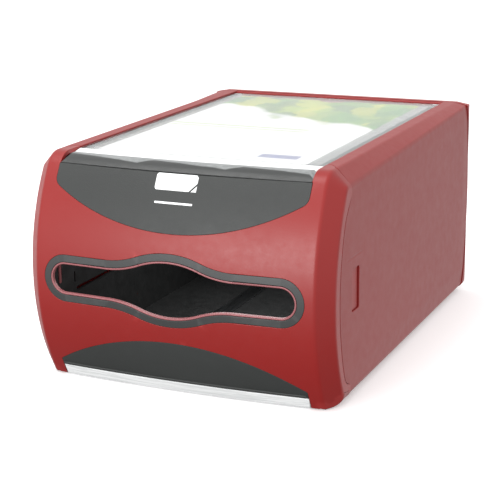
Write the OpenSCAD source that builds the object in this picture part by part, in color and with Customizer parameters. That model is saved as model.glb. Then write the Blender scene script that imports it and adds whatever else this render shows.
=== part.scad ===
// Tabletop napkin dispenser.
// The red sleeve stands on the table. The front bezel and the napkin tray form a drawer that
// slides out forwards once the two side latches are pressed. A spring-driven pusher rides in
// the tray, and a clear cover on top hinges up to take a printed card.
// +X is the right side, -Y is the front, +Z is up. The origin is on the table, at the middle
// of the footprint.

/* [Body] */
// Width over the side walls
body_w = 204; // [200:1:208]
// Depth from the front of the bezel to the back of the rear cover
body_d = 307; // [305:1:309]
// Height from the table to the top rails
body_h = 144; // [143:0.5:145]
// Wall thickness of the sleeve and the rear cover
wall = 2.5; // [2.2:0.1:2.8]
// Gap that the feet leave under the sleeve
foot_gap = 3; // [2.5:0.5:3.5]
// Width of the bevel along the body's edges
edge_w = 9.5; // [9:0.1:10]
// Depth of the bevel along the body's edges
edge_d = 9.9; // [9.4:0.1:10.2]

/* [Bezel] */
// Radius of the front face, seen from the side
face_r = 135; // [130:1:140]
// Height of the foremost line of the front face
face_z = 67; // [65:1:69]
// Radius of the front face, seen from above
bow_r = 1060; // [900:10:1200]
// Wall thickness of the bezel
bezel_wall = 3; // [2.8:0.1:3.2]
// Depth of the bezel's side walls behind the edge bevel
side_depth = 7; // [6:0.5:8]

/* [Slot] */
// Height of the slot's centre line
slot_z = 69.8; // [69:0.2:71]
// Half of the slot's length
slot_half = 80.5; // [79:0.5:81]
// Half of the slot's height at its ends
slot_end_r = 8.9; // [8.4:0.1:9.4]
// Width of the grey ring around the slot
ring_w = 4.8; // [4.4:0.1:5.2]

/* [Tray] */
// Inner width of the napkin tray
tray_in = 170; // [168:1:171]
// Height of the tray's walls above the table
tray_top = 122; // [118:1:124]
// Travel of the drawer
drawer_travel = 200; // [180:5:200]
// Travel of the pusher
pusher_travel = 200; // [180:5:200]

/* [Hidden] */

red = "#a54a46";
dark_grey = "#474a49";
mid_grey = "#5c5f5e";
black = "#202121";
clear = "#dfe6e8";
steel = "#b9bcbd";

eps = 0.01;
far = 400;
half_w = body_w / 2;
front_y = -body_d / 2;
back_y = body_d / 2;
axis_y = front_y + bow_r;

// Front face: the bevel starts at bevel_x, where the bowed face has dropped back to bevel_y.
bevel_x = half_w - edge_w;
bevel_y = axis_y - sqrt(bow_r * bow_r - bevel_x * bevel_x);
edge_k = edge_d / edge_w;
top_fillet = 14;
bottom_z = 0.5;
bottom_round = 12;

// Front seam between the bezel and the sleeve.
seam_gap = 0.3;
seam_cy = bevel_y + edge_d + side_depth + face_r;
seam_top_y = -113;
nose_back_y = -105.8;

// Rear face.
rear_r = 258;
rear_z = 77;
rear_flange = 5.2;
rear_corner_r = 10;

// Sleeve section.
foot_round = 5;
rail_in = 83.6;
rail_wall = 2.5;
ledge_z = 138;
ledge_t = 2.2;
ledge_in = 76;
window_back_y = 137;
flange_in = 88;

// Top display.
cover_top = body_h - 1.2;
cover_t = 2.2;
cover_x = rail_in - 0.3;
hinge_y = 134;
hinge_r = cover_t;
hinge_z = cover_top - hinge_r;
pin_r = 1.2;
card_x = 77.8;
card_z = 140.1;
card_t = 0.3;
deck_t = 2;
deck_front_y = -116.5;

// Side latches.
latch_y0 = -111.4;
latch_y1 = -99.1;
latch_z0 = 56.4;
latch_z1 = 82.6;
latch_gap = 0.3;
latch_out = half_w - 1.1;
latch_pin_x = 94.5;
latch_pin_y = -86;
latch_pin_r = 1.5;

// Tray and drawer runners.
tray_half = tray_in / 2;
tray_t = 2.5;
tray_floor = 9;
tray_front_y = -132;
tray_back_y = 118;
guide_z = 52;
guide_h = 3;
runner_x = 60;
pan_z = foot_gap + wall;
pan_t = 2;
boss_x = 94;
boss_z = [28, 106];
boss_front_y = -136;
ear_y = -127;
screw_r = 1.5;
head_r = 3;
head_t = 2;

// Pusher and its springs.
plate_inset = 5;
plate_t = 2.5;
plate_back_y = 68;
carriage_back_y = 112;
carriage_z = tray_floor + tray_t + 2.6;
anchor_t = 1.2;
anchor_y = -124;
anchor_x = 14;
drum_x = 30;
drum_y = 98;
drum_w = 12;
coil_r = 12;
hub_r = 6;
axle_r = 2;
strip_z = tray_floor + tray_t + 0.1;
strip_t = 0.3;
drum_z = strip_z + strip_t + 0.05 + coil_r;

// Mirrors its children onto both sides.
module both_sides() {
    children();
    mirror([1, 0, 0]) children();
}

// Extrudes a side outline, drawn as (y, z), across the width from x0 to x1.
module across(x0, x1) {
    translate([x0, 0, 0])
        rotate([90, 0, 90])
            linear_extrude(x1 - x0) children();
}

// Extrudes a front outline, drawn as (x, z), from y0 back to y1.
module along(y0, y1) {
    translate([0, y1, 0])
        rotate([90, 0, 0])
            linear_extrude(y1 - y0) children();
}

// Turns an outline, drawn as (radius, x), about a crosswise axis. 180 is up, 270 is forwards.
module turned(y, z, from, to) {
    translate([0, y, z])
        rotate([0, 90, 0])
            rotate_extrude(angle = to - from, start = from, $fn = 360) children();
}

module box(x, y, z) {
    translate([x[0], y[0], z[0]])
        cube([x[1] - x[0], y[1] - y[0], z[1] - z[0]]);
}

module pin_y(x, y0, y1, z, r) {
    translate([x, y1, z])
        rotate([90, 0, 0]) cylinder(h = y1 - y0, r = r, $fn = 48);
}

module pin_x(x0, x1, y, z, r) {
    translate([x0, y, z])
        rotate([0, 90, 0]) cylinder(h = x1 - x0, r = r, $fn = 48);
}

// ---- front face ----

// Side profile of the front, as (distance from the bow's axis, height).
module face_profile(inset, top, fillet) {
    cx = bow_r - face_r;
    rise = top - fillet - face_z;
    run = sqrt((face_r - fillet) * (face_r - fillet) - rise * rise);
    fx = cx + run;
    fz = top - fillet;
    reach = 60;
    difference() {
        intersection() {
            translate([cx, face_z]) circle(r = face_r - inset, $fn = 720);
            translate([bow_r - 58, bottom_z + inset]) square([60, top - bottom_z - 2 * inset]);
        }
        translate([fx, fz]) corner_wedge(reach, run / rise);
    }
    translate([fx, fz])
        intersection() {
            circle(r = fillet - inset, $fn = 180);
            corner_wedge(reach, run / rise);
        }
}

// Wedge from straight up to the given slope (across over up).
module corner_wedge(reach, slope) {
    polygon([[0, 0], [reach * slope, reach], [0, reach]]);
}

// The bowed front as a solid, set back from the outer surface by inset.
module face_body(inset, top = body_h, fillet = top_fillet) {
    translate([0, axis_y, 0])
        rotate_extrude(angle = 14, start = 263, $fn = 720)
            face_profile(inset, top, fillet);
}

// Stations along the edge of the bowed face, each [y, z, outward y, outward z].
main_steps = 20;
fillet_steps = 7;
function edge_stations(inset) =
    let (
        rise = body_h - top_fillet - face_z,
        run = sqrt(pow(face_r - top_fillet, 2) - rise * rise),
        cy = bevel_y + face_r,
        a0 = asin((-6 - face_z) / face_r),
        a1 = atan2(rise, run),
        r0 = face_r - inset,
        r1 = top_fillet - inset
    ) concat(
        [for (i = [0 : main_steps])
            let (a = a0 + (a1 - a0) * i / main_steps)
            [cy - r0 * cos(a), face_z + r0 * sin(a), -cos(a), sin(a)]],
        [for (i = [1 : fillet_steps])
            let (a = a1 + (90 - a1) * i / fillet_steps)
            [cy - run - r1 * cos(a), face_z + rise + r1 * sin(a), -cos(a), sin(a)]],
        [[cy - run + 50, body_h - inset, 0, 1]]
    );

// Wedge that cuts the bevel along the sides and top corners of the front.
module edge_cut(inset) {
    slope = sqrt(1 + edge_k * edge_k);
    x0 = bevel_x - inset * (slope - 1) / edge_k;
    w = half_w - inset - x0;
    d = w * edge_k;
    t = 0.06;
    path = edge_stations(inset);
    n = len(path);
    points = [
        for (i = [n - 1 : -1 : 0])
            let (s = path[i])
            each [
                [x0 - t * w, s[0] + t * d * s[2], s[1] + t * d * s[3]],
                [x0 + (1 + t) * w, s[0] - (1 + t) * d * s[2], s[1] - (1 + t) * d * s[3]],
                [x0 + (1 + t) * w, s[0] + d * s[2], s[1] + d * s[3]]
            ]
    ];
    wedge(points, n);
}

// Closed solid through n three-cornered stations.
module wedge(points, n) {
    last = 3 * (n - 1);
    faces = [
        [0, 1, 2],
        [last + 2, last + 1, last],
        for (i = [0 : n - 2], k = [0 : 2])
            let (a = 3 * i + k, b = 3 * i + (k + 1) % 3) [b, a, a + 3],
        for (i = [0 : n - 2], k = [0 : 2])
            let (a = 3 * i + k, b = 3 * i + (k + 1) % 3) [b + 3, b, a + 3]
    ];
    both_sides() polyhedron(points = points, faces = faces, convexity = 6);
}

// Front outline of the bezel, as (x, z), with rounded lower corners.
module front_outline(inset) {
    r = bottom_round;
    difference() {
        translate([-half_w + inset, bottom_z - 2])
            square([body_w - 2 * inset, body_h]);
        for (side = [0, 1])
            mirror([side, 0])
                translate([half_w - r, bottom_z + r])
                    difference() {
                        translate([0, -r - 3]) square([r + 1, r + 3]);
                        circle(r = r - inset, $fn = 96);
                    }
    }
}

module front_solid(inset) {
    difference() {
        intersection() {
            face_body(inset);
            along(-170, -80) front_outline(inset);
        }
        edge_cut(inset);
    }
}

// Everything in front of the seam, as a (y, z) outline.
module seam_outline(gap) {
    intersection() {
        union() {
            difference() {
                translate([-200, -5]) square([140, 155]);
                translate([seam_cy + gap, face_z]) circle(r = face_r, $fn = 720);
            }
            translate([gap, 0])
                polygon([[-170, 118], [-123, 118], [seam_top_y - 1, 125.5], [seam_top_y, 128],
                    [seam_top_y, 150], [-170, 150]]);
            translate([gap, 0])
                polygon([[-170, -5], [seam_top_y, -5], [seam_top_y, 11], [-118, 12.2],
                    [-121.5, 16], [-170, 16]]);
        }
        translate([-200, -5]) square([200 + seam_top_y + gap, 155]);
    }
}

module before_seam(gap) {
    across(-half_w - 2, half_w + 2) seam_outline(gap);
    box([-rail_in - rail_wall - gap, rail_in + rail_wall + gap], [-130, nose_back_y + gap],
        [ledge_z - ledge_t - gap, body_h + 2]);
}

// ---- slot ----

// The slot's middle bulges up and down. Each crown runs out through two flares, and the line
// between their centres leans by [across, up].
crown_r = 55;
flare_r = 67;
crown_lean = [0.352, 0.936];
slot_bulge = (crown_r + flare_r) * (1 - crown_lean[1]);

// Outline of the slot, grown all round by g.
module slot_outline(g) {
    h = slot_end_r + g;
    mid = slot_half - slot_end_r;
    crown_z = slot_end_r + slot_bulge - crown_r;
    flare_z = slot_end_r + flare_r;
    flare_x = (crown_r + flare_r) * crown_lean[0];
    join_x = (crown_r + g) * crown_lean[0];
    // Middle, between two shallow crowns.
    intersection() {
        translate([-join_x, -40]) square([2 * join_x, 80]);
        translate([0, crown_z]) circle(r = crown_r + g, $fn = 360);
        translate([0, -crown_z]) circle(r = crown_r + g, $fn = 360);
    }
    for (side = [0, 1])
        mirror([side, 0]) {
            // Flares that run the crowns out to the straight part.
            difference() {
                translate([join_x, -30]) square([flare_x - join_x, 60]);
                translate([flare_x, flare_z]) circle(r = flare_r - g, $fn = 360);
                translate([flare_x, -flare_z]) circle(r = flare_r - g, $fn = 360);
            }
            translate([flare_x, -h]) square([mid - flare_x, 2 * h]);
            intersection() {
                translate([mid, 0]) circle(r = h, $fn = 120);
                translate([mid, -40]) square([40, 80]);
            }
        }
}

module slot_prism(g) {
    along(-170, -120) translate([0, slot_z]) slot_outline(g);
}

// ---- panels on the front face ----

panel_x = 84;
panel_top = 138;
upper_low = 104;
upper_r = 165;
upper_corner = 6;
lower_high = 36.3;
lower_r = 160;
lower_bottom = 8;
panel_t = 1.5;
lip_w = 1.3;
strip_top = 7.7;

// Outline of the dark panel over the slot: a shallow bowl with rounded corners.
module upper_outline(g) {
    cz = upper_low + upper_r;
    kx = panel_x - upper_corner;
    kz = cz - sqrt(pow(upper_r - upper_corner, 2) - kx * kx);
    difference() {
        intersection() {
            translate([0, cz]) circle(r = upper_r + g, $fn = 720);
            translate([-panel_x - g, 100]) square([2 * (panel_x + g), panel_top + g - 100]);
        }
        for (side = [0, 1])
            mirror([side, 0])
                difference() {
                    polygon([[kx, kz], [kx + 20, kz], [kx + 20, kz - 30],
                        [kx + 30 * kx / (cz - kz), kz - 30]]);
                    translate([kx, kz]) circle(r = upper_corner + g, $fn = 96);
                }
    }
}

// Outline of the dark panel under the slot: a low arch.
module lower_outline(g) {
    intersection() {
        translate([0, lower_high - lower_r]) circle(r = lower_r + g, $fn = 720);
        translate([-panel_x - g, lower_bottom - g]) square([2 * (panel_x + g), 40]);
    }
}

// A skin of the front face between two depths, cut to an outline drawn as (x, z).
module face_skin(inset, depth) {
    intersection() {
        difference() {
            face_body(inset);
            face_body(depth);
        }
        along(-170, -100) children();
    }
}

// ---- bezel ----

nose_z = 137.4;
shelf_t = 2.2;

module bezel() {
    color(red)
    difference() {
        union() {
            difference() {
                intersection() {
                    front_solid(0);
                    before_seam(0);
                }
                front_solid(bezel_wall);
                // Behind the flange the top wall is open between the corner posts.
                box([-rail_in, rail_in], [-127, -90], [nose_z, body_h + 1]);
            }
            // Shelf under the clear nose.
            intersection() {
                face_body(1);
                box([-rail_in - 1, rail_in + 1], [-150, nose_back_y - 0.2],
                    [nose_z - shelf_t, nose_z]);
            }
            // Ribs that guide the napkins' ends, in line with the tray's walls.
            both_sides()
                intersection() {
                    face_body(1);
                    box([tray_half, tray_half + 2], [-160, tray_front_y - 0.3], [20, 120]);
                }
            // Bosses for the tray's screws.
            both_sides()
                for (z = boss_z) pin_y(boss_x, boss_front_y, ear_y - 0.1, z, 3.6);
        }
        // Seat of the clear nose.
        difference() {
            box([-rail_in, rail_in], [-150, nose_back_y + 1], [nose_z, body_h + 1]);
            face_body(3.4);
        }
        slot_prism(0);
        // Seats of the ring and the two panels.
        difference() {
            face_seat(panel_t + 0.1)
                translate([0, slot_z]) slot_outline(lip_w + ring_w + 0.1);
            slot_prism(lip_w);
        }
        face_seat(panel_t + 0.1) upper_outline(0.1);
        face_seat(panel_t + 0.1) lower_outline(0.1);
        // Seat of the clear strip along the bottom.
        difference() {
            box([-panel_x - 0.2, panel_x + 0.2], [-160, -110], [-1, strip_top + 0.2]);
            translate([0, 0, 0]) face_body(4);
        }
        both_sides()
            for (z = boss_z) pin_y(boss_x, -138, ear_y, z, screw_r);
    }
}

// Material taken out of the bezel's outer surface, down to depth.
module face_seat(depth) {
    difference() {
        along(-165, -100) children();
        face_body(depth);
    }
}

module upper_panel() {
    color(dark_grey)
        face_skin(0, panel_t) upper_outline(0);
}

module lower_panel() {
    lip_h = 2.2;
    lip_out = 1.1;
    color(dark_grey) {
        face_skin(0, panel_t) lower_outline(0);
        translate([0, -lip_out, 0])
            face_skin(0, panel_t + 0.4)
                intersection() {
                    lower_outline(0);
                    translate([-panel_x + 1, lower_bottom]) square([2 * panel_x - 2, lip_h]);
                }
    }
}

module slot_ring() {
    color(mid_grey)
        difference() {
            face_skin(0, panel_t)
                translate([0, slot_z]) slot_outline(lip_w + ring_w);
            slot_prism(lip_w + 0.1);
        }
}

// Clear moulding over the front top edge, between the bezel's corner posts.
module nose_lens() {
    nose_x = rail_in - 0.2;
    leg_w = 3.6;
    fillet = 12;
    color(clear) {
        intersection() {
            difference() {
                face_body(0, cover_top, fillet);
                face_body(cover_t, cover_top, fillet);
            }
            box([-nose_x, nose_x], [-160, nose_back_y - 0.1], [panel_top + 0.1, body_h]);
        }
        both_sides()
            intersection() {
                face_body(cover_t - 0.5, cover_top, fillet);
                box([nose_x - leg_w, nose_x], [-122, nose_back_y - 0.1], [nose_z + 0.05, cover_top]);
            }
    }
}

// Clear strip along the foot of the front.
module base_strip() {
    color(clear)
        intersection() {
            difference() {
                face_body(0);
                face_body(3.8);
            }
            box([-panel_x, panel_x], [-160, -115], [-1, strip_top]);
        }
}

// ---- sleeve ----

// Outline of the sleeve across its width, as (x, z).
module sleeve_outline(inset) {
    r = foot_round;
    difference() {
        translate([-half_w + inset, foot_gap + inset])
            square([body_w - 2 * inset, body_h - foot_gap - 2 * inset]);
        for (side = [0, 1])
            mirror([side, 0])
                translate([half_w - r, foot_gap + r])
                    difference() {
                        translate([0, -r]) square([r, r]);
                        circle(r = r - inset, $fn = 96);
                    }
    }
}

// The space inside the sleeve, as (x, z).
module tunnel_outline() {
    slope = sqrt(1 + edge_k * edge_k);
    x0 = bevel_x - wall * (slope - 1) / edge_k;
    x1 = half_w - wall;
    top = body_h - wall;
    rail_x = rail_in + rail_wall;
    intersection() {
        sleeve_outline(wall);
        polygon([
            [-x1, 0], [x1, 0], [x1, top - (x1 - x0) * edge_k], [x0, top], [rail_x, top],
            [rail_x, ledge_z - ledge_t], [-rail_x, ledge_z - ledge_t], [-rail_x, top],
            [-x0, top], [-x1, top - (x1 - x0) * edge_k]
        ]);
    }
}

// Top bevel of the sleeve: as tall as the bezel's at the front and almost flat at the back.
bevel_steps = 24;
bevel_y0 = -118;
bevel_y1 = back_y + 4;
bevel_rear = 1.7;
function bevel_drop(y) = edge_d + (bevel_rear - edge_d) * (y - seam_top_y) / (148 - seam_top_y);
function bevel_station(i) =
    let (
        y = bevel_y0 + (bevel_y1 - bevel_y0) * i / bevel_steps,
        drop = bevel_drop(y),
        t = 0.3
    ) [
        [bevel_x - t * edge_w, y, body_h + t * drop],
        [half_w + t * edge_w, y, body_h - drop - t * drop],
        [half_w + t * edge_w, y, body_h + t * edge_d]
    ];
module top_bevel_cut() {
    wedge([for (i = [bevel_steps : -1 : 0]) each bevel_station(i)], bevel_steps + 1);
}

// The rear face's side profile, moved forward by shift.
module rear_profile(shift, z0, z1) {
    intersection() {
        translate([back_y - rear_r - shift, rear_z]) circle(r = rear_r, $fn = 720);
        translate([0, z0]) square([back_y + 5, z1 - z0]);
    }
}

module latch_window(g) {
    r = 1.2;
    across(half_w - 12, half_w + 2)
        for (y = [latch_y0 + r - g, latch_y1 - r + g], z = [latch_z0 + r - g, latch_z1 - r + g])
            translate([y, z]) circle(r = r, $fn = 32);
    box([half_w - 12, half_w + 2], [latch_y0 - g, latch_y1 + g], [latch_z0 + r - g, latch_z1 - r + g]);
    box([half_w - 12, half_w + 2], [latch_y0 + r - g, latch_y1 - r + g], [latch_z0 - g, latch_z1 + g]);
}

rear_boss_z = [24, 120];
function rear_y(z) = back_y - rear_r + sqrt(rear_r * rear_r - (z - rear_z) * (z - rear_z));
function rear_seat_y(z) = rear_y(z) - rear_flange + 1.9;
base_screw_y = [-90, 120];
foot_y = [-96, 124];
foot_x = 74;
base_screw_x = 92;

module sleeve() {
    color(red)
    difference() {
        union() {
            difference() {
                intersection() {
                    along(-140, back_y) sleeve_outline(0);
                    across(-half_w, half_w)
                        union() {
                            rear_profile(rear_flange + seam_gap, 0, body_h + 1);
                            translate([-140, 0]) square([200, body_h + 1]);
                        }
                }
                along(-141, back_y + 1) tunnel_outline();
            }
            // Bosses for the rear cover's screws.
            both_sides()
                for (z = rear_boss_z)
                    intersection() {
                        box([boss_x - 4, half_w - 1], [126, rear_seat_y(z) - 2.8], [z - 4, z + 4]);
                        along(100, back_y) sleeve_outline(1);
                    }
            // Rear wall of the window.
            box([-rail_in - 1, rail_in + 1], [window_back_y, window_back_y + 2],
                [ledge_z - ledge_t, body_h - 0.5]);
        }
        before_seam(seam_gap);
        top_bevel_cut();
        // Open underside between the foot flanges.
        box([-flange_in, flange_in], [-141, 133], [0, pan_z + 1]);
        // Window in the top, with a ledge that carries the deck.
        box([-rail_in, rail_in], [-141, window_back_y], [ledge_z, body_h + 1]);
        box([-ledge_in, ledge_in], [-141, 124], [ledge_z - 5, ledge_z + 1]);
        both_sides() {
            latch_window(0);
            // Clearance for the latch on its way out through the front.
            box([half_w - 4, half_w - 0.8], [-141, latch_y1], [latch_z0 - 1, latch_z1 + 1]);
            pin_x(rail_in - 1, rail_in + rail_wall + 1, hinge_y, hinge_z, pin_r);
            for (z = rear_boss_z) pin_y(boss_x, 128, 150, z, screw_r);
            for (y = base_screw_y)
                translate([base_screw_x, y, 0]) cylinder(h = pan_z + 1, r = screw_r + 0.2, $fn = 48);
        }
    }
}

module rear_outline(inset) {
    r = rear_corner_r;
    difference() {
        translate([-half_w + inset, 100]) square([body_w - 2 * inset, back_y + 5 - 100]);
        for (side = [0, 1])
            mirror([side, 0])
                translate([half_w - r, back_y - r])
                    difference() {
                        square([r + 1, r + 6]);
                        circle(r = r - inset, $fn = 96);
                    }
    }
}

// Solid of the whole rear end, set in from its outer surface.
module rear_solid(inset) {
    intersection() {
        along(100, back_y + 5) sleeve_outline(inset);
        across(-half_w, half_w)
            rear_profile(inset, foot_gap + inset, body_h - inset);
        linear_extrude(body_h + 5) rear_outline(inset);
    }
}

module rear_cover() {
    color(red)
    difference() {
        union() {
            difference() {
                rear_solid(0);
                rear_solid(wall);
                top_bevel_cut();
            }
            both_sides()
                for (z = rear_boss_z)
                    intersection() {
                        pin_y(boss_x - 0.5, 120, 152, z, 4.8);
                        rear_solid(1);
                        along(100, 160) sleeve_outline(wall + 0.2);
                    }
        }
        // Front edge follows the sleeve's rear edge.
        across(-half_w - 1, half_w + 1)
            union() {
                rear_profile(rear_flange, -1, body_h + 2);
                translate([90, -1]) square([20, body_h + 3]);
            }
        both_sides()
            for (z = rear_boss_z) {
                pin_y(boss_x, 120, 160, z, screw_r + 0.2);
                pin_y(boss_x, rear_seat_y(z), 160, z, head_r + 0.4);
            }
    }
}

// ---- base ----

module base_pan() {
    color(black)
    difference() {
        union() {
            box([-95.4, 95.4], [-108, 132], [pan_z + 0.05, pan_z + pan_t]);
            // Stop for the drawer.
            box([-8, 8], [-107, -103], [pan_z + 1, pan_z + pan_t + 1.2]);
            both_sides()
                for (y = base_screw_y)
                    translate([base_screw_x, y, pan_z + 0.05]) cylinder(h = pan_t + 4, r = 3.4, $fn = 48);
        }
        both_sides() {
            for (y = base_screw_y)
                translate([base_screw_x, y, pan_z - 1]) cylinder(h = pan_t + 4, r = screw_r, $fn = 48);
            // Finger slots that lighten the pan.
            for (y = [-70 : 35 : 105]) box([12, 46], [y - 6, y + 6], [pan_z - 1, pan_z + pan_t + 1]);
        }
    }
}

module runner(side) {
    x = side * runner_x;
    color(mid_grey)
    difference() {
        box([x - 3, x + 3], [-106, 122], [pan_z + pan_t, tray_floor - 0.3]);
        // Lead-in at the front end.
        translate([x - 4, -106, tray_floor - 0.3])
            rotate([20, 0, 0]) translate([0, -6, 0]) cube([8, 6, 4]);
    }
}

module foot(x, y) {
    color(black)
        translate([x, y, 0]) {
            rotate_extrude($fn = 72)
                polygon([[0, 0], [7.6, 0], [8.6, 1], [8.6, pan_z + 0.05], [0, pan_z + 0.05]]);
        }
}

module screw_z(x, y, z, length) {
    translate([x, y, z]) {
        difference() {
            translate([0, 0, -head_t + 0.4])
                rotate_extrude($fn = 48)
                    polygon([[0, 0], [head_r - 0.5, 0], [head_r, 0.6], [head_r, head_t - 0.4],
                        [0, head_t - 0.4]]);
            for (a = [0, 90])
                rotate([0, 0, a]) translate([-0.4, -1.6, -head_t]) cube([0.8, 3.2, 1.2]);
        }
        cylinder(h = length, r = screw_r, $fn = 48);
    }
}

module base_screws() {
    color(steel)
        for (side = [-1, 1], y = base_screw_y)
            screw_z(side * base_screw_x, y, foot_gap, 6.2);
}

module screw_y(x, y, z, length) {
    translate([x, y, z])
        rotate([90, 0, 0]) screw_z(0, 0, 0, length);
}

module rear_screws() {
    color(steel)
        for (side = [-1, 1], z = rear_boss_z)
            screw_y(side * boss_x, rear_seat_y(z), z, 14);
}

// ---- top display ----

module message_deck() {
    color(black)
    difference() {
        box([-rail_in + 0.3, rail_in - 0.3], [deck_front_y, 130.8], [ledge_z + 0.05, ledge_z + deck_t]);
        both_sides()
            box([card_x + 0.2, rail_in + 1], [-130, nose_back_y + 0.6], [ledge_z - 1, ledge_z + deck_t + 1]);
        // Shallow finger notch to lift the card's rear edge.
        translate([0, 134, 0]) cylinder(h = 200, r = 14, $fn = 96);
    }
}

module message_card() {
    color("white")
    difference() {
        box([-card_x, card_x], [deck_front_y, 129], [card_z, card_z + card_t]);
        translate([0, 134, 0]) cylinder(h = 200, r = 12, $fn = 96);
    }
}

module display_cover() {
    front = nose_back_y + 0.3;
    rib_w = 1.6;
    color(clear)
    difference() {
        union() {
            box([-cover_x, cover_x], [front, hinge_y], [hinge_z, cover_top]);
            pin_x(-cover_x, cover_x, hinge_y, hinge_z, hinge_r);
        }
        // Sunken field in the underside, over the card.
        box([-card_x, card_x], [front + 3, 129], [hinge_z - 1, hinge_z + 0.5]);
        both_sides()
            pin_x(cover_x - 6.05, cover_x + 1, hinge_y, hinge_z, pin_r + 0.06);
    }
}

module cover_pins() {
    color(steel)
        both_sides()
            pin_x(cover_x - 6, rail_in + rail_wall + 0.4, hinge_y, hinge_z, pin_r);
}

// ---- tray ----

latch_lug_z = [[54, 56.3], [82.8, 85.1]];

// Floor and rear wall of the napkin tray.
module tray() {
    floor_top = tray_floor + tray_t;
    outer = tray_half + tray_t;
    color(black)
    difference() {
        union() {
            box([-outer, outer], [tray_front_y, tray_back_y], [tray_floor, floor_top]);
            box([-outer, outer], [tray_back_y - tray_t, tray_back_y], [floor_top - 1, tray_top]);
            // Skids each side of the runners.
            both_sides()
                for (x = [runner_x - 4.9, runner_x + 3.4])
                    box([x, x + 1.5], [-126, 112], [tray_floor - 1, tray_floor + 1]);
            // Stop lug under the rear of the floor.
            box([-7, 7], [100, 104], [tray_floor - 1.1, tray_floor + 1]);
        }
        // Holes for the anchor's screws.
        both_sides()
            translate([anchor_x, anchor_y, tray_floor - 1]) cylinder(h = 5, r = 1.2, $fn = 48);
    }
}

// Side wall of the tray, with the screw ears and the latch's lugs.
module tray_wall(side) {
    floor_top = tray_floor + tray_t;
    outer = tray_half + tray_t;
    color(black)
    mirror([side < 0 ? 1 : 0, 0, 0])
    difference() {
        union() {
            box([tray_half, outer], [tray_front_y, tray_back_y - tray_t], [floor_top, tray_top]);
            // Ears that take the bezel's screws.
            for (z = boss_z)
                box([outer - 1, boss_x + 4], [ear_y, ear_y + 2.5], [z - 6, z + 6]);
            // Lugs that hold the latch pin.
            for (z = latch_lug_z) {
                box([outer - 1, latch_pin_x], [latch_pin_y - 4, latch_pin_y + 4], z);
                translate([latch_pin_x, latch_pin_y, z[0]])
                    cylinder(h = z[1] - z[0], r = 4, $fn = 64);
            }
        }
        // Guide slot for the pusher's pins.
        box([tray_half - 1, outer + 1], [-115, 112], [guide_z - guide_h / 2, guide_z + guide_h / 2]);
        // Upright slot behind the tray's front edge.
        box([tray_half - 1, outer + 1], [-117.6, -116.2], [57, 64]);
        for (z = boss_z) pin_y(boss_x, ear_y - 1, ear_y + 4, z, screw_r + 0.2);
        for (z = latch_lug_z)
            translate([latch_pin_x, latch_pin_y, z[0] - 1]) cylinder(h = 5, r = latch_pin_r, $fn = 48);
        // The rim dips in the middle, so that fingers can lift the napkins in.
        across(tray_half - 1, outer + 1)
            translate([-35, tray_top + 190]) circle(r = 205, $fn = 360);
    }
}

module bezel_screws() {
    color(steel)
        for (side = [-1, 1], z = boss_z)
            screw_y(side * boss_x, ear_y + 2.5, z, 12);
}

// Bracket that clamps the front ends of the two spring strips.
module spring_anchor() {
    top = tray_floor + tray_t;
    color(steel)
    difference() {
        union() {
            box([-20, 20], [anchor_y - 4, anchor_y + 4], [top, top + anchor_t]);
            both_sides()
                box([19, drum_x + 7], [anchor_y - 4, anchor_y + 2], [strip_z + strip_t, top + anchor_t]);
        }
        both_sides()
            translate([anchor_x, anchor_y, top - 1]) cylinder(h = 5, r = 1.35, $fn = 48);
    }
}

// Low-headed screws of the bracket.
module anchor_screws() {
    top = tray_floor + tray_t + anchor_t;
    color(steel)
    difference() {
        for (side = [-1, 1])
            translate([side * anchor_x, anchor_y, top]) {
                rotate_extrude($fn = 48)
                    polygon([[0, 0], [2.8, 0], [2.8, 0.5], [2.2, 0.9], [0, 0.9]]);
                translate([0, 0, -3]) cylinder(h = 3.1, r = 1.2, $fn = 48);
            }
        for (side = [-1, 1], a = [0, 90])
            translate([side * anchor_x, anchor_y, top])
                rotate([0, 0, a]) translate([-0.3, -1.4, 0.4]) cube([0.6, 2.8, 1]);
    }
}

module spring_strip(side) {
    x = side * drum_x;
    color(steel)
        box([x - 6, x + 6], [-127, drum_y], [strip_z, strip_z + strip_t]);
}

// ---- latches ----

// Latch lever and its thumb tab, on the right-hand side.
module latch_right() {
    arm_x = 92;
    arm_t = 2.6;
    g = latch_gap;
    r = 1;
    color(red)
    difference() {
        union() {
            box([arm_x, arm_x + arm_t], [latch_y0 + g, latch_pin_y], [latch_z0 + g, latch_z1 - g]);
            translate([latch_pin_x, latch_pin_y, latch_z0 + g])
                cylinder(h = latch_z1 - latch_z0 - 2 * g, r = 3.2, $fn = 64);
            intersection() {
                box([arm_x, latch_out], [latch_y0 + g, latch_y1 - g], [latch_z0 + g, latch_z1 - g]);
                across(arm_x, latch_out)
                    union() {
                        translate([latch_y0 + g + r, latch_z0 + g])
                            square([latch_y1 - latch_y0 - 2 * (g + r), latch_z1 - latch_z0 - 2 * g]);
                        translate([latch_y0 + g, latch_z0 + g + r])
                            square([latch_y1 - latch_y0 - 2 * g, latch_z1 - latch_z0 - 2 * (g + r)]);
                        for (y = [latch_y0 + g + r, latch_y1 - g - r], z = [latch_z0 + g + r, latch_z1 - g - r])
                            translate([y, z]) circle(r = r, $fn = 32);
                    }
            }
        }
        translate([latch_pin_x, latch_pin_y, latch_z0 - 1])
            cylinder(h = latch_z1 - latch_z0 + 2, r = latch_pin_r + 0.06, $fn = 48);
        // Pocket for the spring.
        pin_x(arm_x - 1, arm_x + 1.2, -104, 69.5, 3.4);
    }
}

module latch_left() {
    mirror([1, 0, 0]) latch_right();
}

module latch_pin(side) {
    color(steel)
        translate([side * latch_pin_x, latch_pin_y, latch_lug_z[0][0] - 0.6])
            cylinder(h = latch_lug_z[1][1] - latch_lug_z[0][0] + 1.2, r = latch_pin_r, $fn = 48);
}

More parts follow.
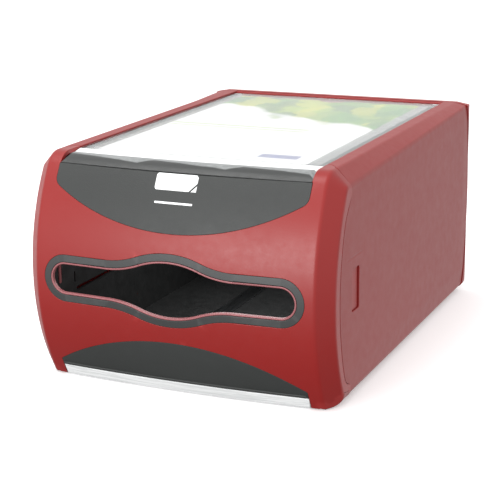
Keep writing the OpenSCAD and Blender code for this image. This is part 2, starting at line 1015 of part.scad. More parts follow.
// A coil spring of round wire along X, swept as a tube.
spring_turns = 4;
spring_steps = 12;
wire_sides = 6;
function coil_point(a, r, x0, x1, total) = [x0 + (x1 - x0) * a / total, r * cos(a), r * sin(a)];
module coil_spring(r, wire, x0, x1, turns) {
    total = 360 * turns;
    n = turns * spring_steps;
    rings = [
        for (i = [0 : n])
            let (a = total * i / n, c = coil_point(a, r, x0, x1, total))
            for (k = [0 : wire_sides - 1])
                let (b = 360 * k / wire_sides)
                [c[0] + wire * cos(b), (r + wire * sin(b)) * cos(a), (r + wire * sin(b)) * sin(a)]
    ];
    sides = [
        for (i = [0 : n - 1], k = [0 : wire_sides - 1])
            let (a = i * wire_sides + k, b = i * wire_sides + (k + 1) % wire_sides)
            [a, b, b + wire_sides, a + wire_sides]
    ];
    caps = [
        [for (k = [wire_sides - 1 : -1 : 0]) k],
        [for (k = [0 : wire_sides - 1]) n * wire_sides + k]
    ];
    polyhedron(points = rings, faces = concat(sides, caps), convexity = 10);
}

module latch_spring(side) {
    wire = 0.35;
    inner = tray_half + tray_t + wire + 0.05;
    outer = 93.2 - wire - 0.05;
    color(steel)
        mirror([side < 0 ? 1 : 0, 0, 0])
            translate([0, -104, 69.5]) coil_spring(2.6, wire, inner, outer, spring_turns);
}

// ---- pusher ----

module pusher_plate() {
    x = tray_half - 1.5;
    z0 = carriage_z + 0.2;
    z1 = tray_top - 3;
    color(dark_grey)
    difference() {
        union() {
            translate([0, pusher_travel, 0])
                intersection() {
                    difference() {
                        face_body(plate_inset);
                        face_body(plate_inset + plate_t);
                    }
                    box([-x, x], [-170, -120], [z0, z1]);
                }
            // Rim round the back of the plate.
            intersection() {
                translate([0, pusher_travel, 0]) face_body(plate_inset + 1);
                difference() {
                    box([-x, x], [0, plate_back_y - 0.1], [z0, z1]);
                    box([-x + plate_t, x - plate_t], [-1, plate_back_y + 1], [z0 + plate_t, z1 - plate_t]);
                }
            }
            for (side = [-1, 1], z = [24, 50])
                intersection() {
                    translate([0, pusher_travel, 0]) face_body(plate_inset + 1);
                    pin_y(side * 62, 20, plate_back_y - 0.1, z, 3.6);
                }
        }
        for (side = [-1, 1], z = [24, 50])
            pin_y(side * 62, 56, plate_back_y + 1, z, screw_r);
    }
}

module pusher_carriage() {
    x = tray_half - 1.5;
    t = 2.5;
    z0 = carriage_z;
    ear_t = 2.5;
    color(black)
    difference() {
        union() {
            box([-x, x], [plate_back_y, carriage_back_y], [z0, z0 + t]);
            box([-x, x], [plate_back_y, plate_back_y + t], [z0, 60]);
            both_sides()
                box([x - t, x], [plate_back_y, carriage_back_y], [z0, 60]);
            both_sides()
                for (y = [92, 107]) pin_x(x - 1, tray_half + tray_t + 0.8, y, guide_z, guide_h / 2 - 0.15);
            // Ears that carry the drums' axles.
            both_sides()
                for (ex = [drum_x - drum_w / 2 - 0.6 - ear_t, drum_x + drum_w / 2 + 0.6]) {
                    box([ex, ex + ear_t], [drum_y - 7, drum_y + 7], [z0, drum_z]);
                    pin_x(ex, ex + ear_t, drum_y, drum_z, 5);
                }
        }
        both_sides() {
            box([drum_x - drum_w / 2 - 0.5, drum_x + drum_w / 2 + 0.5],
                [drum_y - coil_r - 2, carriage_back_y + 1], [z0 - 1, z0 + t + 0.5]);
            pin_x(drum_x - 12, drum_x + 12, drum_y, drum_z, axle_r);
            for (z = [24, 50]) pin_y(62, plate_back_y - 1, plate_back_y + 4, z, screw_r + 0.2);
        }
        // Window in the front wall, between the drums.
        box([-50, 50], [plate_back_y - 1, plate_back_y + t + 1], [34, 54]);
    }
}

module pusher_screws() {
    color(steel)
        for (side = [-1, 1], z = [24, 50])
            screw_y(side * 62, plate_back_y + 2.5, z, 12);
}

module drum_axle(side) {
    reach = drum_w / 2 + 3.6;
    color(steel)
        pin_x(side * drum_x - reach, side * drum_x + reach, drum_y, drum_z, axle_r);
}

module drum_hub(side) {
    x0 = side * drum_x - drum_w / 2;
    color(mid_grey)
    difference() {
        pin_x(x0, x0 + drum_w, drum_y, drum_z, hub_r);
        pin_x(x0 - 1, x0 + drum_w + 1, drum_y, drum_z, axle_r + 0.06);
        for (a = [0 : 60 : 300])
            translate([x0 - 1, drum_y, drum_z])
                rotate([a, 0, 0]) translate([0, 4, 0]) rotate([0, 90, 0]) cylinder(h = 5, r = 0.8, $fn = 24);
    }
}

module drum_coil(side) {
    x0 = side * drum_x - drum_w / 2;
    color(steel)
    difference() {
        pin_x(x0, x0 + drum_w, drum_y, drum_z, coil_r);
        pin_x(x0 - 1, x0 + drum_w + 1, drum_y, drum_z, hub_r);
        // Steps that show the strip's turns at both ends.
        for (end = [x0, x0 + drum_w], r = [7.5, 9, 10.5])
            difference() {
                pin_x(end - 0.3, end + 0.3, drum_y, drum_z, r + 0.3);
                pin_x(end - 1, end + 1, drum_y, drum_z, r);
            }
    }
}

sleeve();
rear_cover();
base_pan();
message_deck();
message_card();
runner(-1);  // runner_left
runner(1);  // runner_right
foot(-foot_x, foot_y[0]);  // foot_front_left
foot(foot_x, foot_y[0]);  // foot_front_right
foot(-foot_x, foot_y[1]);  // foot_rear_left
foot(foot_x, foot_y[1]);  // foot_rear_right
base_screws();
rear_screws();
cover_pins();
display_cover();
bezel();
upper_panel();
lower_panel();
slot_ring();
nose_lens();
base_strip();
tray();
tray_wall(-1);  // tray_wall_left
tray_wall(1);  // tray_wall_right
bezel_screws();
spring_anchor();
anchor_screws();
spring_strip(-1);  // spring_strip_left
spring_strip(1);  // spring_strip_right
latch_left();
latch_right();
latch_pin(-1);  // latch_pin_left
latch_pin(1);  // latch_pin_right
latch_spring(-1);  // latch_spring_left
latch_spring(1);  // latch_spring_right
pusher_plate();
pusher_carriage();
pusher_screws();
drum_axle(-1);  // drum_axle_left
drum_axle(1);  // drum_axle_right
drum_hub(-1);  // drum_hub_left
drum_hub(1);  // drum_hub_right
drum_coil(-1);  // drum_coil_left
drum_coil(1);  // drum_coil_right
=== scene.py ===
import math

import bmesh
import bpy
import numpy as np
from mathutils import Matrix, Vector
from mathutils.geometry import delaunay_2d_cdt


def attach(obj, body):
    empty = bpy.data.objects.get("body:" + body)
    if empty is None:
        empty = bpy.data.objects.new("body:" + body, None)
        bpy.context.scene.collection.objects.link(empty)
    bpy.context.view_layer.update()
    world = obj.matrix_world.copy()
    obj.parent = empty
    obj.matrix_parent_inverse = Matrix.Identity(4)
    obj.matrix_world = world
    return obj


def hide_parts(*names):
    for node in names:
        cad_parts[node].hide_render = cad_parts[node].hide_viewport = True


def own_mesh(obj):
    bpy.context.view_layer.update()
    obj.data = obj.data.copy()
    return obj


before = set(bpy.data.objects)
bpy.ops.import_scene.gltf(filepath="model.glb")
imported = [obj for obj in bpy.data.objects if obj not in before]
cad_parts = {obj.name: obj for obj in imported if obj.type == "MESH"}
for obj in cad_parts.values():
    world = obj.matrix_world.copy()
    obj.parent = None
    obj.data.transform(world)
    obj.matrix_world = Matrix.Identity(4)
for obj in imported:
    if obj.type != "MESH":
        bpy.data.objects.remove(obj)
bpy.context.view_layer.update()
MM = 0.001

# ---------------------------------------------------------------- sizes, in millimetres
HALF_W, HEIGHT = 102.0, 144.0
FRONT_Y, BACK_Y = -153.5, 153.5
FACE_R, FACE_Z, BOW_R = 135.0, 67.0, 1060.0
AXIS_Y = FRONT_Y + BOW_R
BEVEL_X, EDGE_D = 92.5, 9.9
EDGE_W = HALF_W - BEVEL_X
BEVEL_Y = AXIS_Y - math.sqrt(BOW_R**2 - BEVEL_X**2)
FILLET = 14.0
BOTTOM_Z, BOTTOM_R = 0.5, 9.0
SEAM_CY = BEVEL_Y + EDGE_D + 7.0 + FACE_R
SEAM_TOP_Y, NOSE_BACK_Y = -113.0, -105.8
RAIL_IN = 83.6
FOOT_R, FOOT_Z = 5.0, 3.0
SIDE_RUN = 126.0  # the sleeve's side, measured down its surface
SIDE_LOW = FOOT_Z + FOOT_R
PANEL_X, PANEL_LOW_Z, PANEL_TOP_Z = 84.0, 8.0, 138.0
POST_X = 84.2  # inner edge of the posts beside the panels
CORNER_X = 89.2  # where the rounded lower corner starts
SHELF_Z = 137.4  # top of the shelf behind the upper panel
CREASE_Y, CREASE_Z = -108.5, 90.2  # the small dent over the latch window
RIM = 0.35
JOINT = 0.06  # half the gap between a panel and the bezel
REAR_R, REAR_Z = 258.0, 77.0
LATCH = (-111.4, -99.1, 56.4, 82.6)
SLOT_Z = 69.8


# ---------------------------------------------------------------- profiles
class Profile:
    """The front's side profile by arc length s: distance from the bow's axis, height, and outward normal."""

    def __init__(self, top=HEIGHT, fillet=FILLET):
        self.top, self.fillet = top, fillet
        self.rise = top - fillet - FACE_Z
        self.run = math.sqrt((FACE_R - fillet) ** 2 - self.rise**2)
        self.a1 = math.atan2(self.rise, self.run)
        self.cx = BOW_R - FACE_R
        self.s1 = FACE_R * self.a1
        self.s2 = self.s1 + fillet * (math.pi / 2 - self.a1)

    def at(self, s):
        s = np.asarray(s, float)
        a = s / FACE_R
        b = np.clip(self.a1 + (s - self.s1) / self.fillet, self.a1, math.pi / 2)
        main, arc = s <= self.s1, (s > self.s1) & (s <= self.s2)
        r = np.where(main, self.cx + FACE_R * np.cos(a), self.cx + self.run + self.fillet * np.cos(b))
        z = np.where(main, FACE_Z + FACE_R * np.sin(a), self.top - self.fillet + self.fillet * np.sin(b))
        flat = s > self.s2
        r = np.where(flat, self.cx + self.run - (s - self.s2), r)
        nr = np.where(main, np.cos(a), np.where(flat, 0.0, np.cos(b)))
        nz = np.where(main, np.sin(a), np.where(flat, 1.0, np.sin(b)))
        return r, z, nr, nz

    def s_of_z(self, z):
        z = np.asarray(z, float)
        z1 = FACE_Z + FACE_R * math.sin(self.a1)
        main = FACE_R * np.arcsin(np.clip((z - FACE_Z) / FACE_R, -1, 1))
        b = np.arcsin(np.clip((z - self.top + self.fillet) / self.fillet, -1, 1))
        return np.where(z <= z1, main, self.s1 + self.fillet * (b - self.a1))


BODY = Profile()
LENS = Profile(HEIGHT - 1.2, 12.0)


def face_point(x, s, inset=0.0, prof=BODY):
    """A point of the bowed front at x across and s up the profile, set in from the surface."""
    r, z, nr, nz = prof.at(s)
    r, z = r - inset * nr, z - inset * nz
    return np.stack([x + 0 * s, AXIS_Y - np.sqrt(r**2 - x**2), z], -1)


def s_of_y_on_top(x, y):
    """Arc length where the flat top reaches y at x."""
    r = np.hypot(x, AXIS_Y - y)
    return BODY.s2 + BODY.cx + BODY.run - r


# ---------------------------------------------------------------- the unrolled bezel
ROUND_1, ROUND_2 = 1.6, 1.4
BEVEL_L = math.hypot(EDGE_W, EDGE_D)
U_SIDE = BEVEL_X + BEVEL_L


def bezel_point(u, s, inset=0.0):
    """The bezel's surface: u runs across the face, over the bevel and onto the side. s runs up the profile."""
    u, s = np.broadcast_arrays(np.asarray(u, float), np.asarray(s, float))
    side, a = np.where(u < 0, -1.0, 1.0), np.abs(u)
    r, z, nr, nz = BODY.at(s)
    normal = np.stack([0 * a, -nr, nz], -1)
    slope = math.hypot(1, EDGE_D / EDGE_W)
    x0 = BEVEL_X - inset * (slope - 1) * EDGE_W / EDGE_D
    start = np.stack([np.full_like(a, x0), AXIS_Y - np.sqrt((r - inset * nr) ** 2 - x0**2), z - inset * nz], -1)
    down = np.stack([np.full_like(a, EDGE_W / BEVEL_L), 0 * a, 0 * a], -1) - normal * (EDGE_D / BEVEL_L)
    length = (HALF_W - inset - x0) * BEVEL_L / EDGE_W

    def face(w):
        return face_point(w, s, inset)

    def bevel(t):
        return start + down * np.asarray(t + 0 * a)[..., None]

    def flank(t):
        return bevel(length) - normal * np.asarray(t + 0 * a)[..., None]

    t = (a - BEVEL_X) * length / BEVEL_L
    front = face(np.minimum(a, BEVEL_X) * x0 / BEVEL_X)
    out = np.where((a < BEVEL_X)[..., None], front, bevel(np.clip(t, 0, length)))
    out = np.where((a > U_SIDE)[..., None], flank(a - U_SIDE), out)
    for corner_u, rad, before, after in (
        (BEVEL_X, ROUND_1, lambda d: face(x0 - d + 0 * a), bevel),
        (U_SIDE, ROUND_2, lambda d: bevel(length - d), flank),
    ):
        w = (a - corner_u + rad) / (2 * rad)
        inside = ((w > 0) & (w < 1))[..., None]
        w = np.clip(w, 0, 1)[..., None]
        arc = (1 - w) ** 2 * before(rad) + 2 * w * (1 - w) * before(0.0) + w**2 * after(rad)
        out = np.where(inside, arc, out)
    out[..., 0] *= side
    return out


# ---------------------------------------------------------------- outlines
def resample(points, step):
    """Even steps along a closed polyline."""
    p = np.asarray(points, float)
    q = np.vstack([p, p[:1]])
    d = np.hypot(*np.diff(q, axis=0).T)
    keep = np.r_[True, d[:-1] > 1e-9] if len(d) > 1 else [True]
    p = p[keep[: len(p)]]
    q = np.vstack([p, p[:1]])
    out = []
    for a, b in zip(q[:-1], q[1:]):
        n = max(1, int(math.ceil(np.hypot(*(b - a)) / step)))
        out += [a + (b - a) * i / n for i in range(n)]
    return np.array(out)


def arc(cx, cz, r, a0, a1, step):
    """Points along an arc, about one step apart."""
    n = max(3, int(abs(a1 - a0) * r / step))
    t = np.linspace(a0, a1, n + 1)
    return np.stack([cx + r * np.cos(t), cz + r * np.sin(t)], -1)


def slot_outline(g):
    """The napkin slot's outline as (x, height over its centre line), grown by g, counterclockwise."""
    half_l, end_r, flare_r, crown_r = 80.5, 8.9, 67, 55
    end, mid = end_r + g, half_l - end_r
    sin_l, cos_l = 0.352, 0.936
    fx, lean = (flare_r + crown_r) * sin_l, math.asin(sin_l)
    crown_z = end_r + (flare_r + crown_r) * (1 - cos_l) - crown_r
    up = np.vstack([
        arc(mid, 0, end, 0, math.pi / 2, 0.8),
        [[fx, end]],
        arc(fx, end_r + flare_r, flare_r - g, -math.pi / 2, -math.pi / 2 - lean, 1.2),
        arc(0, crown_z, crown_r + g, math.pi / 2 - lean, math.pi / 2, 1.2),
    ])
    left = up[::-1] * [-1, 1]
    half = np.vstack([up, left[1:]])
    return np.vstack([half, (half[::-1] * [1, -1])[1:-1]])


def panel_outline(kind, g):
    """The dark panels' outlines as (x, z), grown by g, counterclockwise."""
    x = PANEL_X + g
    if kind == "lower":
        low_r, low_crown = 160, 36.3
        r, cz = low_r + g, low_crown - low_r
        a = math.acos(x / r)
        top = arc(0, cz, r, a, math.pi - a, 1.5)
        return np.vstack([top, [[-x, PANEL_LOW_Z - g], [x, PANEL_LOW_Z - g]]])
    sag_r, sag_z, corner_r = 165, 104, 6
    cz, k = sag_z + sag_r, PANEL_X - corner_r
    kz = cz - math.sqrt((sag_r - corner_r) ** 2 - k**2)
    tilt = math.atan2(k, cz - kz)
    bottom = arc(0, cz, sag_r + g, -math.pi / 2 - tilt, -math.pi / 2 + tilt, 1.5)
    right = arc(k, kz, corner_r + g, -math.pi / 2 + tilt, 0, 0.5)
    left = arc(-k, kz, corner_r + g, -math.pi, -math.pi / 2 - tilt, 0.5)
    return np.vstack([left, bottom[1:], right[1:], [[x, PANEL_TOP_Z + g], [-x, PANEL_TOP_Z + g]]])


def on_profile(outline):
    """(x, z) to (x, arc length)."""
    o = np.array(outline, float)
    return np.stack([o[:, 0], BODY.s_of_z(o[:, 1])], -1)


def band(half, z0, z1):
    """A plain strip across the face, as (x, z) points."""
    low = np.stack([np.linspace(-half, half, 45), np.full(45, z0)], -1)
    high = np.stack([np.linspace(half, -half, 45), np.full(45, z1)], -1)
    return np.vstack([low, high])


def area(loop):
    """Signed area of a loop."""
    x, y = loop[:, 0], loop[:, 1]
    return 0.5 * float(np.sum(x * np.roll(y, -1) - np.roll(x, -1) * y))


def shifted(loop, d):
    """The loop moved to its left by d."""
    n = len(loop)
    e = np.roll(loop, -1, 0) - loop
    e /= np.maximum(np.hypot(e[:, 0], e[:, 1]), 1e-9)[:, None]
    left = np.stack([-e[:, 1], e[:, 0]], -1)
    m = left + np.roll(left, 1, 0)
    m /= np.maximum(np.einsum("ij,ij->i", m, m) / 2, 0.35)[:, None]
    return loop + m * np.asarray(d)[..., None] if np.ndim(d) else loop + m * d, m


def inside_loops(points, loops):
    """Even-odd test of many points against closed loops."""
    x, y = points[:, 0], points[:, 1]
    odd = np.zeros(len(points), bool)
    for loop in loops:
        a, b = loop, np.roll(loop, -1, 0)
        for (x0, y0), (x1, y1) in zip(a, b):
            if y0 == y1:
                continue
            cross = (y0 > y) != (y1 > y)
            odd ^= cross & (x < (x1 - x0) * (y - y0) / (y1 - y0) + x0)
    return odd


def away_from(points, loops, gap):
    """Which points lie further than the gap from every loop."""
    ok = np.ones(len(points), bool)
    for loop in loops:
        a, b = loop, np.roll(loop, -1, 0)
        for p0, p1 in zip(a, b):
            e = p1 - p0
            t = np.clip(((points - p0) @ e) / max(float(e @ e), 1e-12), 0, 1)
            d = points - p0 - t[:, None] * e
            ok &= np.einsum("ij,ij->i", d, d) > gap * gap
    return ok


# ---------------------------------------------------------------- mesh building
class Builder:
    def __init__(self):
        self.v, self.n, self.f, self.count = [], [], [], 0

    def add(self, points, normals):
        start = self.count
        points = np.asarray(points, float).reshape(-1, 3)
        self.v.append(points)
        self.n.append(np.asarray(normals, float).reshape(-1, 3))
        self.count += len(points)
        return np.arange(start, self.count)

    def faces(self, rows):
        self.f += [tuple(int(i) for i in r) for r in rows]

    def grid(self, points, flip=False, normals=None):
        """A rectangle of points, shaded smooth."""
        p = np.asarray(points, float)
        du = np.gradient(p, axis=0)
        dv = np.gradient(p, axis=1)
        n = np.cross(du, dv) if normals is None else normals
        n = n / np.maximum(np.linalg.norm(n, axis=-1, keepdims=True), 1e-12)
        if flip and normals is None:
            n = -n
        rows, cols = p.shape[:2]
        i = self.add(p, n).reshape(rows, cols)
        for a in range(rows - 1):
            for b in range(cols - 1):
                q = (i[a, b], i[a + 1, b], i[a + 1, b + 1], i[a, b + 1])
                self.f.append(tuple(int(k) for k in (q[::-1] if flip else q)))
        return i

    def object(self, name, material, body, replaces=()):
        mesh = bpy.data.meshes.new(name)
        v = np.vstack(self.v) * MM
        mesh.from_pydata(v.tolist(), [], self.f)
        mesh.validate(clean_customdata=False)
        for p in mesh.polygons:
            p.use_smooth = True
        n = np.vstack(self.n)
        n = n / np.maximum(np.linalg.norm(n, axis=1, keepdims=True), 1e-12)
        mesh.normals_split_custom_set_from_vertices(n.tolist())
        mesh.materials.append(material)
        obj = bpy.data.objects.new(name, mesh)
        bpy.context.scene.collection.objects.link(obj)
        if body:
            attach(obj, body)
        if replaces:
            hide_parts(*replaces)
        return obj


def surface_normals(point, uv, flip):
    """Normals of the surface at (u, v) points."""
    h = 0.05
    u, v = uv[:, 0], uv[:, 1]
    du = point(u + h, v) - point(u - h, v)
    dv = point(u, v + h) - point(u, v - h)
    n = np.cross(du, dv)
    n /= np.maximum(np.linalg.norm(n, axis=1, keepdims=True), 1e-12)
    return -n if flip else n


def triangles(loops, extra):
    """Fills the loops with triangles through the extra points."""
    pts, edges = [], []
    for loop in loops:
        k = len(pts)
        pts += [Vector(p) for p in loop]
        edges += [(k + i, k + (i + 1) % len(loop)) for i in range(len(loop))]
    pts += [Vector(p) for p in extra]
    out = delaunay_2d_cdt(pts, edges, [], 0, 1e-5)
    co = np.array([tuple(p) for p in out[0]])
    tri = np.array(out[2])
    centre = co[tri].mean(1)
    tri = tri[inside_loops(centre, loops)]
    return co, tri


def slab(b, loops, extra, point, thick, rim=0.35, flip=False, steps=4, depth=0.0):
    """A sheet of even thickness over a region of the unrolled surface, with rounded rims where rim isn't 0."""
    loops = [np.asarray(l, float) for l in loops]
    rims = list(rim) if isinstance(rim, (list, tuple)) else [rim] * len(loops)
    rims = [np.broadcast_to(np.asarray(r, float), (len(l),)).copy() for r, l in zip(rims, loops)]
    for i, l in enumerate(loops):
        if (area(l) > 0) != (i == 0):
            loops[i], rims[i] = l[::-1], rims[i][::-1]

    def at(uv, n, d):
        return point(uv[:, 0], uv[:, 1]) - n * np.asarray(d + depth * np.ones(len(uv)))[:, None]

    tops = []
    for loop, r in zip(loops, rims):
        n0 = surface_normals(point, loop, flip)
        inner, _ = shifted(loop, 0.05)
        wall = point(loop[:, 0], loop[:, 1]) - point(inner[:, 0], inner[:, 1])
        wall -= n0 * np.einsum("ij,ij->i", wall, n0)[:, None]
        wall /= np.maximum(np.linalg.norm(wall, axis=1, keepdims=True), 1e-12)
        prev = None
        _, way = shifted(loop, 0.0)
        for k in range(steps + 1):
            a = math.pi / 2 * k / steps
            ring = loop + way * (r * (1 - math.sin(a)))[:, None]
            n = surface_normals(point, ring, flip)
            round_n = np.where((r > 0)[:, None], n * math.cos(a) + wall * math.sin(a), n)
            idx = b.add(at(ring, n, r * (1 - math.cos(a))), round_n)
            if k == 0:
                tops.append(ring)
            if prev is not None and r.max() > 0:
                _stitch(b, prev, idx, flip)
            prev = idx
        first = b.add(at(loop, n0, r), wall)
        last = b.add(at(loop, n0, np.full(len(loop), thick)), wall)
        _stitch(b, first, last, flip)
    for edge, d, under in ((tops, 0.0, False), (loops, thick, True)):
        inner = extra[inside_loops(extra, edge)] if len(extra) else extra
        inner = inner[away_from(inner, edge, 0.45)] if len(inner) else inner
        co, tri = triangles(edge, inner)
        n = surface_normals(point, co, flip)
        i = b.add(at(co, n, np.full(len(co), d)), -n if under else n)
        b.faces(i[tri][:, ::-1] if flip != under else i[tri])


def _stitch(b, one, two, flip):
    """Joins two rings of vertices with quads."""
    n = len(one)
    for k in range(n):
        q = (one[k], two[k], two[(k + 1) % n], one[(k + 1) % n])
        b.f.append(tuple(int(j) for j in (q[::-1] if flip else q)))


def mesh_grid(us, vs):
    """All pairs of the two lists, as points."""
    a, c = np.meshgrid(us, vs)
    return np.stack([a.ravel(), c.ravel()], -1)


# ---------------------------------------------------------------- materials
def srgb(*rgb):
    """A colour given in 0 to 255 display values, as linear light."""
    scaled = [c / 255 for c in rgb]
    return tuple(c / 12.92 if c <= 0.04045 else ((c + 0.055) / 1.055) ** 2.4 for c in scaled) + (1.0,)


class Nodes:
    """Short forms for the nodes of one tree."""

    def __init__(self, nt):
        self.nt = nt

    def feed(self, node, values):
        """Sets a node's inputs, or links them where the value is another node's output."""
        for key, v in values.items():
            if isinstance(v, bpy.types.NodeSocket):
                self.nt.links.new(v, node.inputs[key])
            else:
                node.inputs[key].default_value = v
        return node

    def new(self, kind, values):
        return self.feed(self.nt.nodes.new(kind), values)

    def shade(self, values):
        """Sets or links the principled shader's inputs."""
        self.feed(next(n for n in self.nt.nodes if n.type == "BSDF_PRINCIPLED"), values)

    def coords(self, scale=(1, 1, 1)):
        """Object coordinates, scaled along each axis."""
        at = self.new("ShaderNodeTexCoord", {}).outputs["Object"]
        return self.new("ShaderNodeMapping", {"Vector": at, "Scale": scale}).outputs["Vector"]

    def xyz(self, coords):
        return self.new("ShaderNodeSeparateXYZ", {"Vector": coords}).outputs

    def noise(self, coords, scale, detail, rough, out="Fac"):
        values = {"Vector": coords, "Scale": scale, "Detail": detail, "Roughness": rough}
        return self.new("ShaderNodeTexNoise", values).outputs[out]

    def ramp(self, source, stops):
        """Colour ramp over the source."""
        r = self.new("ShaderNodeValToRGB", {"Fac": source})
        el = r.color_ramp.elements
        el[0].position, el[0].color = stops[0]
        el[1].position, el[1].color = stops[1]
        for pos, col in stops[2:]:
            el.new(pos).color = col
        return r.outputs["Color"]

    def spread(self, source, span, to):
        """Runs over the range to as the source runs over its span."""
        values = {"Value": source, "From Min": span[0], "From Max": span[1], "To Min": to[0], "To Max": to[1]}
        return self.new("ShaderNodeMapRange", values).outputs["Result"]

    def bump(self, height, strength, distance):
        """Relief finer than the mesh."""
        values = {"Height": height, "Strength": strength, "Distance": distance}
        return self.new("ShaderNodeBump", values).outputs["Normal"]

    def math(self, op, a, b=0.0, c=0.0):
        n = self.new("ShaderNodeMath", {0: a, 1: b, 2: c})
        n.operation = op
        return n.outputs[0]

    def add(self, a, b):
        return self.math("ADD", a, b)

    def sub(self, a, b):
        return self.math("SUBTRACT", a, b)

    def mul(self, a, b):
        return self.math("MULTIPLY", a, b)

    def mix(self, fac, a, b):
        n = self.new("ShaderNodeMix", {})
        n.data_type = "RGBA"
        keys = {k.name: i for i, k in enumerate(n.inputs) if k.enabled}
        self.feed(n, {keys["Factor"]: fac, keys["A"]: a, keys["B"]: b})
        return next(o for o in n.outputs if o.enabled)

    def step(self, x, edge, soft):
        """0 below edge, 1 above it, over a width of soft."""
        n = self.new("ShaderNodeMapRange", {"Value": x, "From Min": edge - soft / 2, "From Max": edge + soft / 2})
        n.interpolation_type = "SMOOTHSTEP"
        return n.outputs["Result"]

    def inside(self, x, lo, hi, soft):
        """1 between lo and hi, 0 outside."""
        return self.mul(self.step(x, lo, soft), self.sub(1.0, self.step(x, hi, soft)))

    def paint_edge_highlight(self, colour, patches, tint, amount):
        """The colour with a painted highlight along outer edges: paler there, more in some places than in others."""
        corner = self.new("ShaderNodeNewGeometry", {}).outputs["Pointiness"]
        edge = self.spread(corner, (0.515, 0.6), (0.0, amount))
        highlight_colour = tuple(min(1.0, 1.5 * c + 0.03) for c in tint[:3]) + (1.0,)
        return self.mix(self.mul(edge, patches), colour, highlight_colour)


def new_material(name):
    """A node material, and the short forms for its nodes."""
    m = bpy.data.materials.new(name)
    m.use_nodes = True
    return m, Nodes(m.node_tree)


def plastic(name, colour, colour2, rough, grain, grain_d, strength, specular=0.5):
    """Moulded plastic: fine spark-eroded grain, a little colour drift, uneven gloss and a painted highlight along
    outer edges.
    """
    m, k = new_material(name)
    at = k.coords()
    base = k.ramp(k.noise(at, 14.0, 3.0, 0.5), [(0.3, colour), (0.72, colour2)])
    mid = k.noise(at, 160.0, 4.0, 0.6)
    k.shade({
        "Base Color": k.paint_edge_highlight(base, mid, colour2, 0.5),
        "Roughness": k.spread(mid, (0.3, 0.7), rough),
        "Normal": k.bump(k.noise(at, grain, 3.0, 0.6), strength, grain_d),
        "Specular IOR Level": specular,
    })
    return m


def metal(name, colour, colour2, rough, stretch):
    """Bare metal with fine brushed or rolled lines, and a painted highlight along outer edges."""
    m, k = new_material(name)
    lines = k.noise(k.coords(stretch), 500.0, 4.0, 0.6)
    base = k.ramp(lines, [(0.3, colour), (0.7, colour2)])
    k.shade({
        "Base Color": k.paint_edge_highlight(base, lines, colour2, 0.8),
        "Roughness": k.spread(lines, (0.0, 1.0), rough),
        "Normal": k.bump(lines, 0.25, 0.00005),
        "Metallic": 1.0,
    })
    return m


def cover_material():
    """Clear plastic with faint waves."""
    m, k = new_material("clear_cover_plastic")
    waves = k.noise(k.coords(), 20.0, 3.0, 0.5)
    k.shade({
        "Base Color": k.ramp(waves, [(0.35, (0.98, 0.99, 0.99, 1.0)), (0.65, (1.0, 1.0, 1.0, 1.0))]),
        "Roughness": k.spread(waves, (0.0, 1.0), (0.02, 0.05)),
        "Normal": k.bump(waves, 0.5, 0.00002),
        "Transmission Weight": 1.0,
        "IOR": 1.2,
    })
    return m


def nose_material():
    """Clear moulding: white where it lies over the card, hazy along a torn-looking edge, dark below it."""
    m, k = new_material("clear_nose_plastic")
    at = k.coords()
    x = k.xyz(at)["X"]
    jag = k.noise(k.coords((1, 0.15, 0.15)), 55.0, 2.0, 0.45)
    teeth = k.math("FRACT", k.add(k.mul(x, 17.0), 0.35))
    teeth = k.math("MINIMUM", teeth, k.mul(k.sub(1.0, teeth), 5.0))
    small = k.noise(at, 260.0, 3.0, 0.6)
    # Distance behind the bowed front edge.
    y = k.add(k.xyz(at)["Y"], k.mul(k.mul(x, x), -0.47))
    white = k.step(y, -0.1206, 0.0007)
    torn = k.add(y, k.add(k.mul(teeth, 0.0052), k.mul(k.sub(jag, 0.5), 0.002)))
    hazy = k.step(torn, -0.1246, 0.0016)
    tone = k.ramp(small, [(0.3, srgb(150, 153, 153)), (0.7, srgb(190, 193, 193))])
    under = k.mix(hazy, srgb(58, 60, 59), tone)
    covered = k.sub(1.0, k.mul(white, 0.95))
    k.shade({
        "Base Color": k.mix(white, under, srgb(253, 254, 254)),
        "Roughness": k.add(0.2, k.mul(small, 0.4)),
        "Normal": k.bump(jag, 0.3, 0.0003),
        "Transmission Weight": k.mul(k.add(0.25, k.mul(hazy, 0.2)), covered),
        "IOR": 1.49,
    })
    return m


def strip_material():
    """Clear strip, painted pale for the light it gathers, with long streaks along it: lighter bands of painted
    highlight in its colour, with gloss and bumps.
    """
    m, k = new_material("clear_foot_plastic")
    streaks_and_highlights = k.noise(k.coords((0.03, 1, 1)), 520.0, 3.0, 0.6)
    k.shade({
        "Base Color": k.ramp(streaks_and_highlights, [(0.32, srgb(222, 224, 224)), (0.6, srgb(248, 249, 249))]),
        "Roughness": k.add(0.12, k.mul(streaks_and_highlights, 0.3)),
        "Normal": k.bump(streaks_and_highlights, 0.25, 0.0002),
        "Transmission Weight": 0.06,
        "IOR": 1.49,
    })
    return m


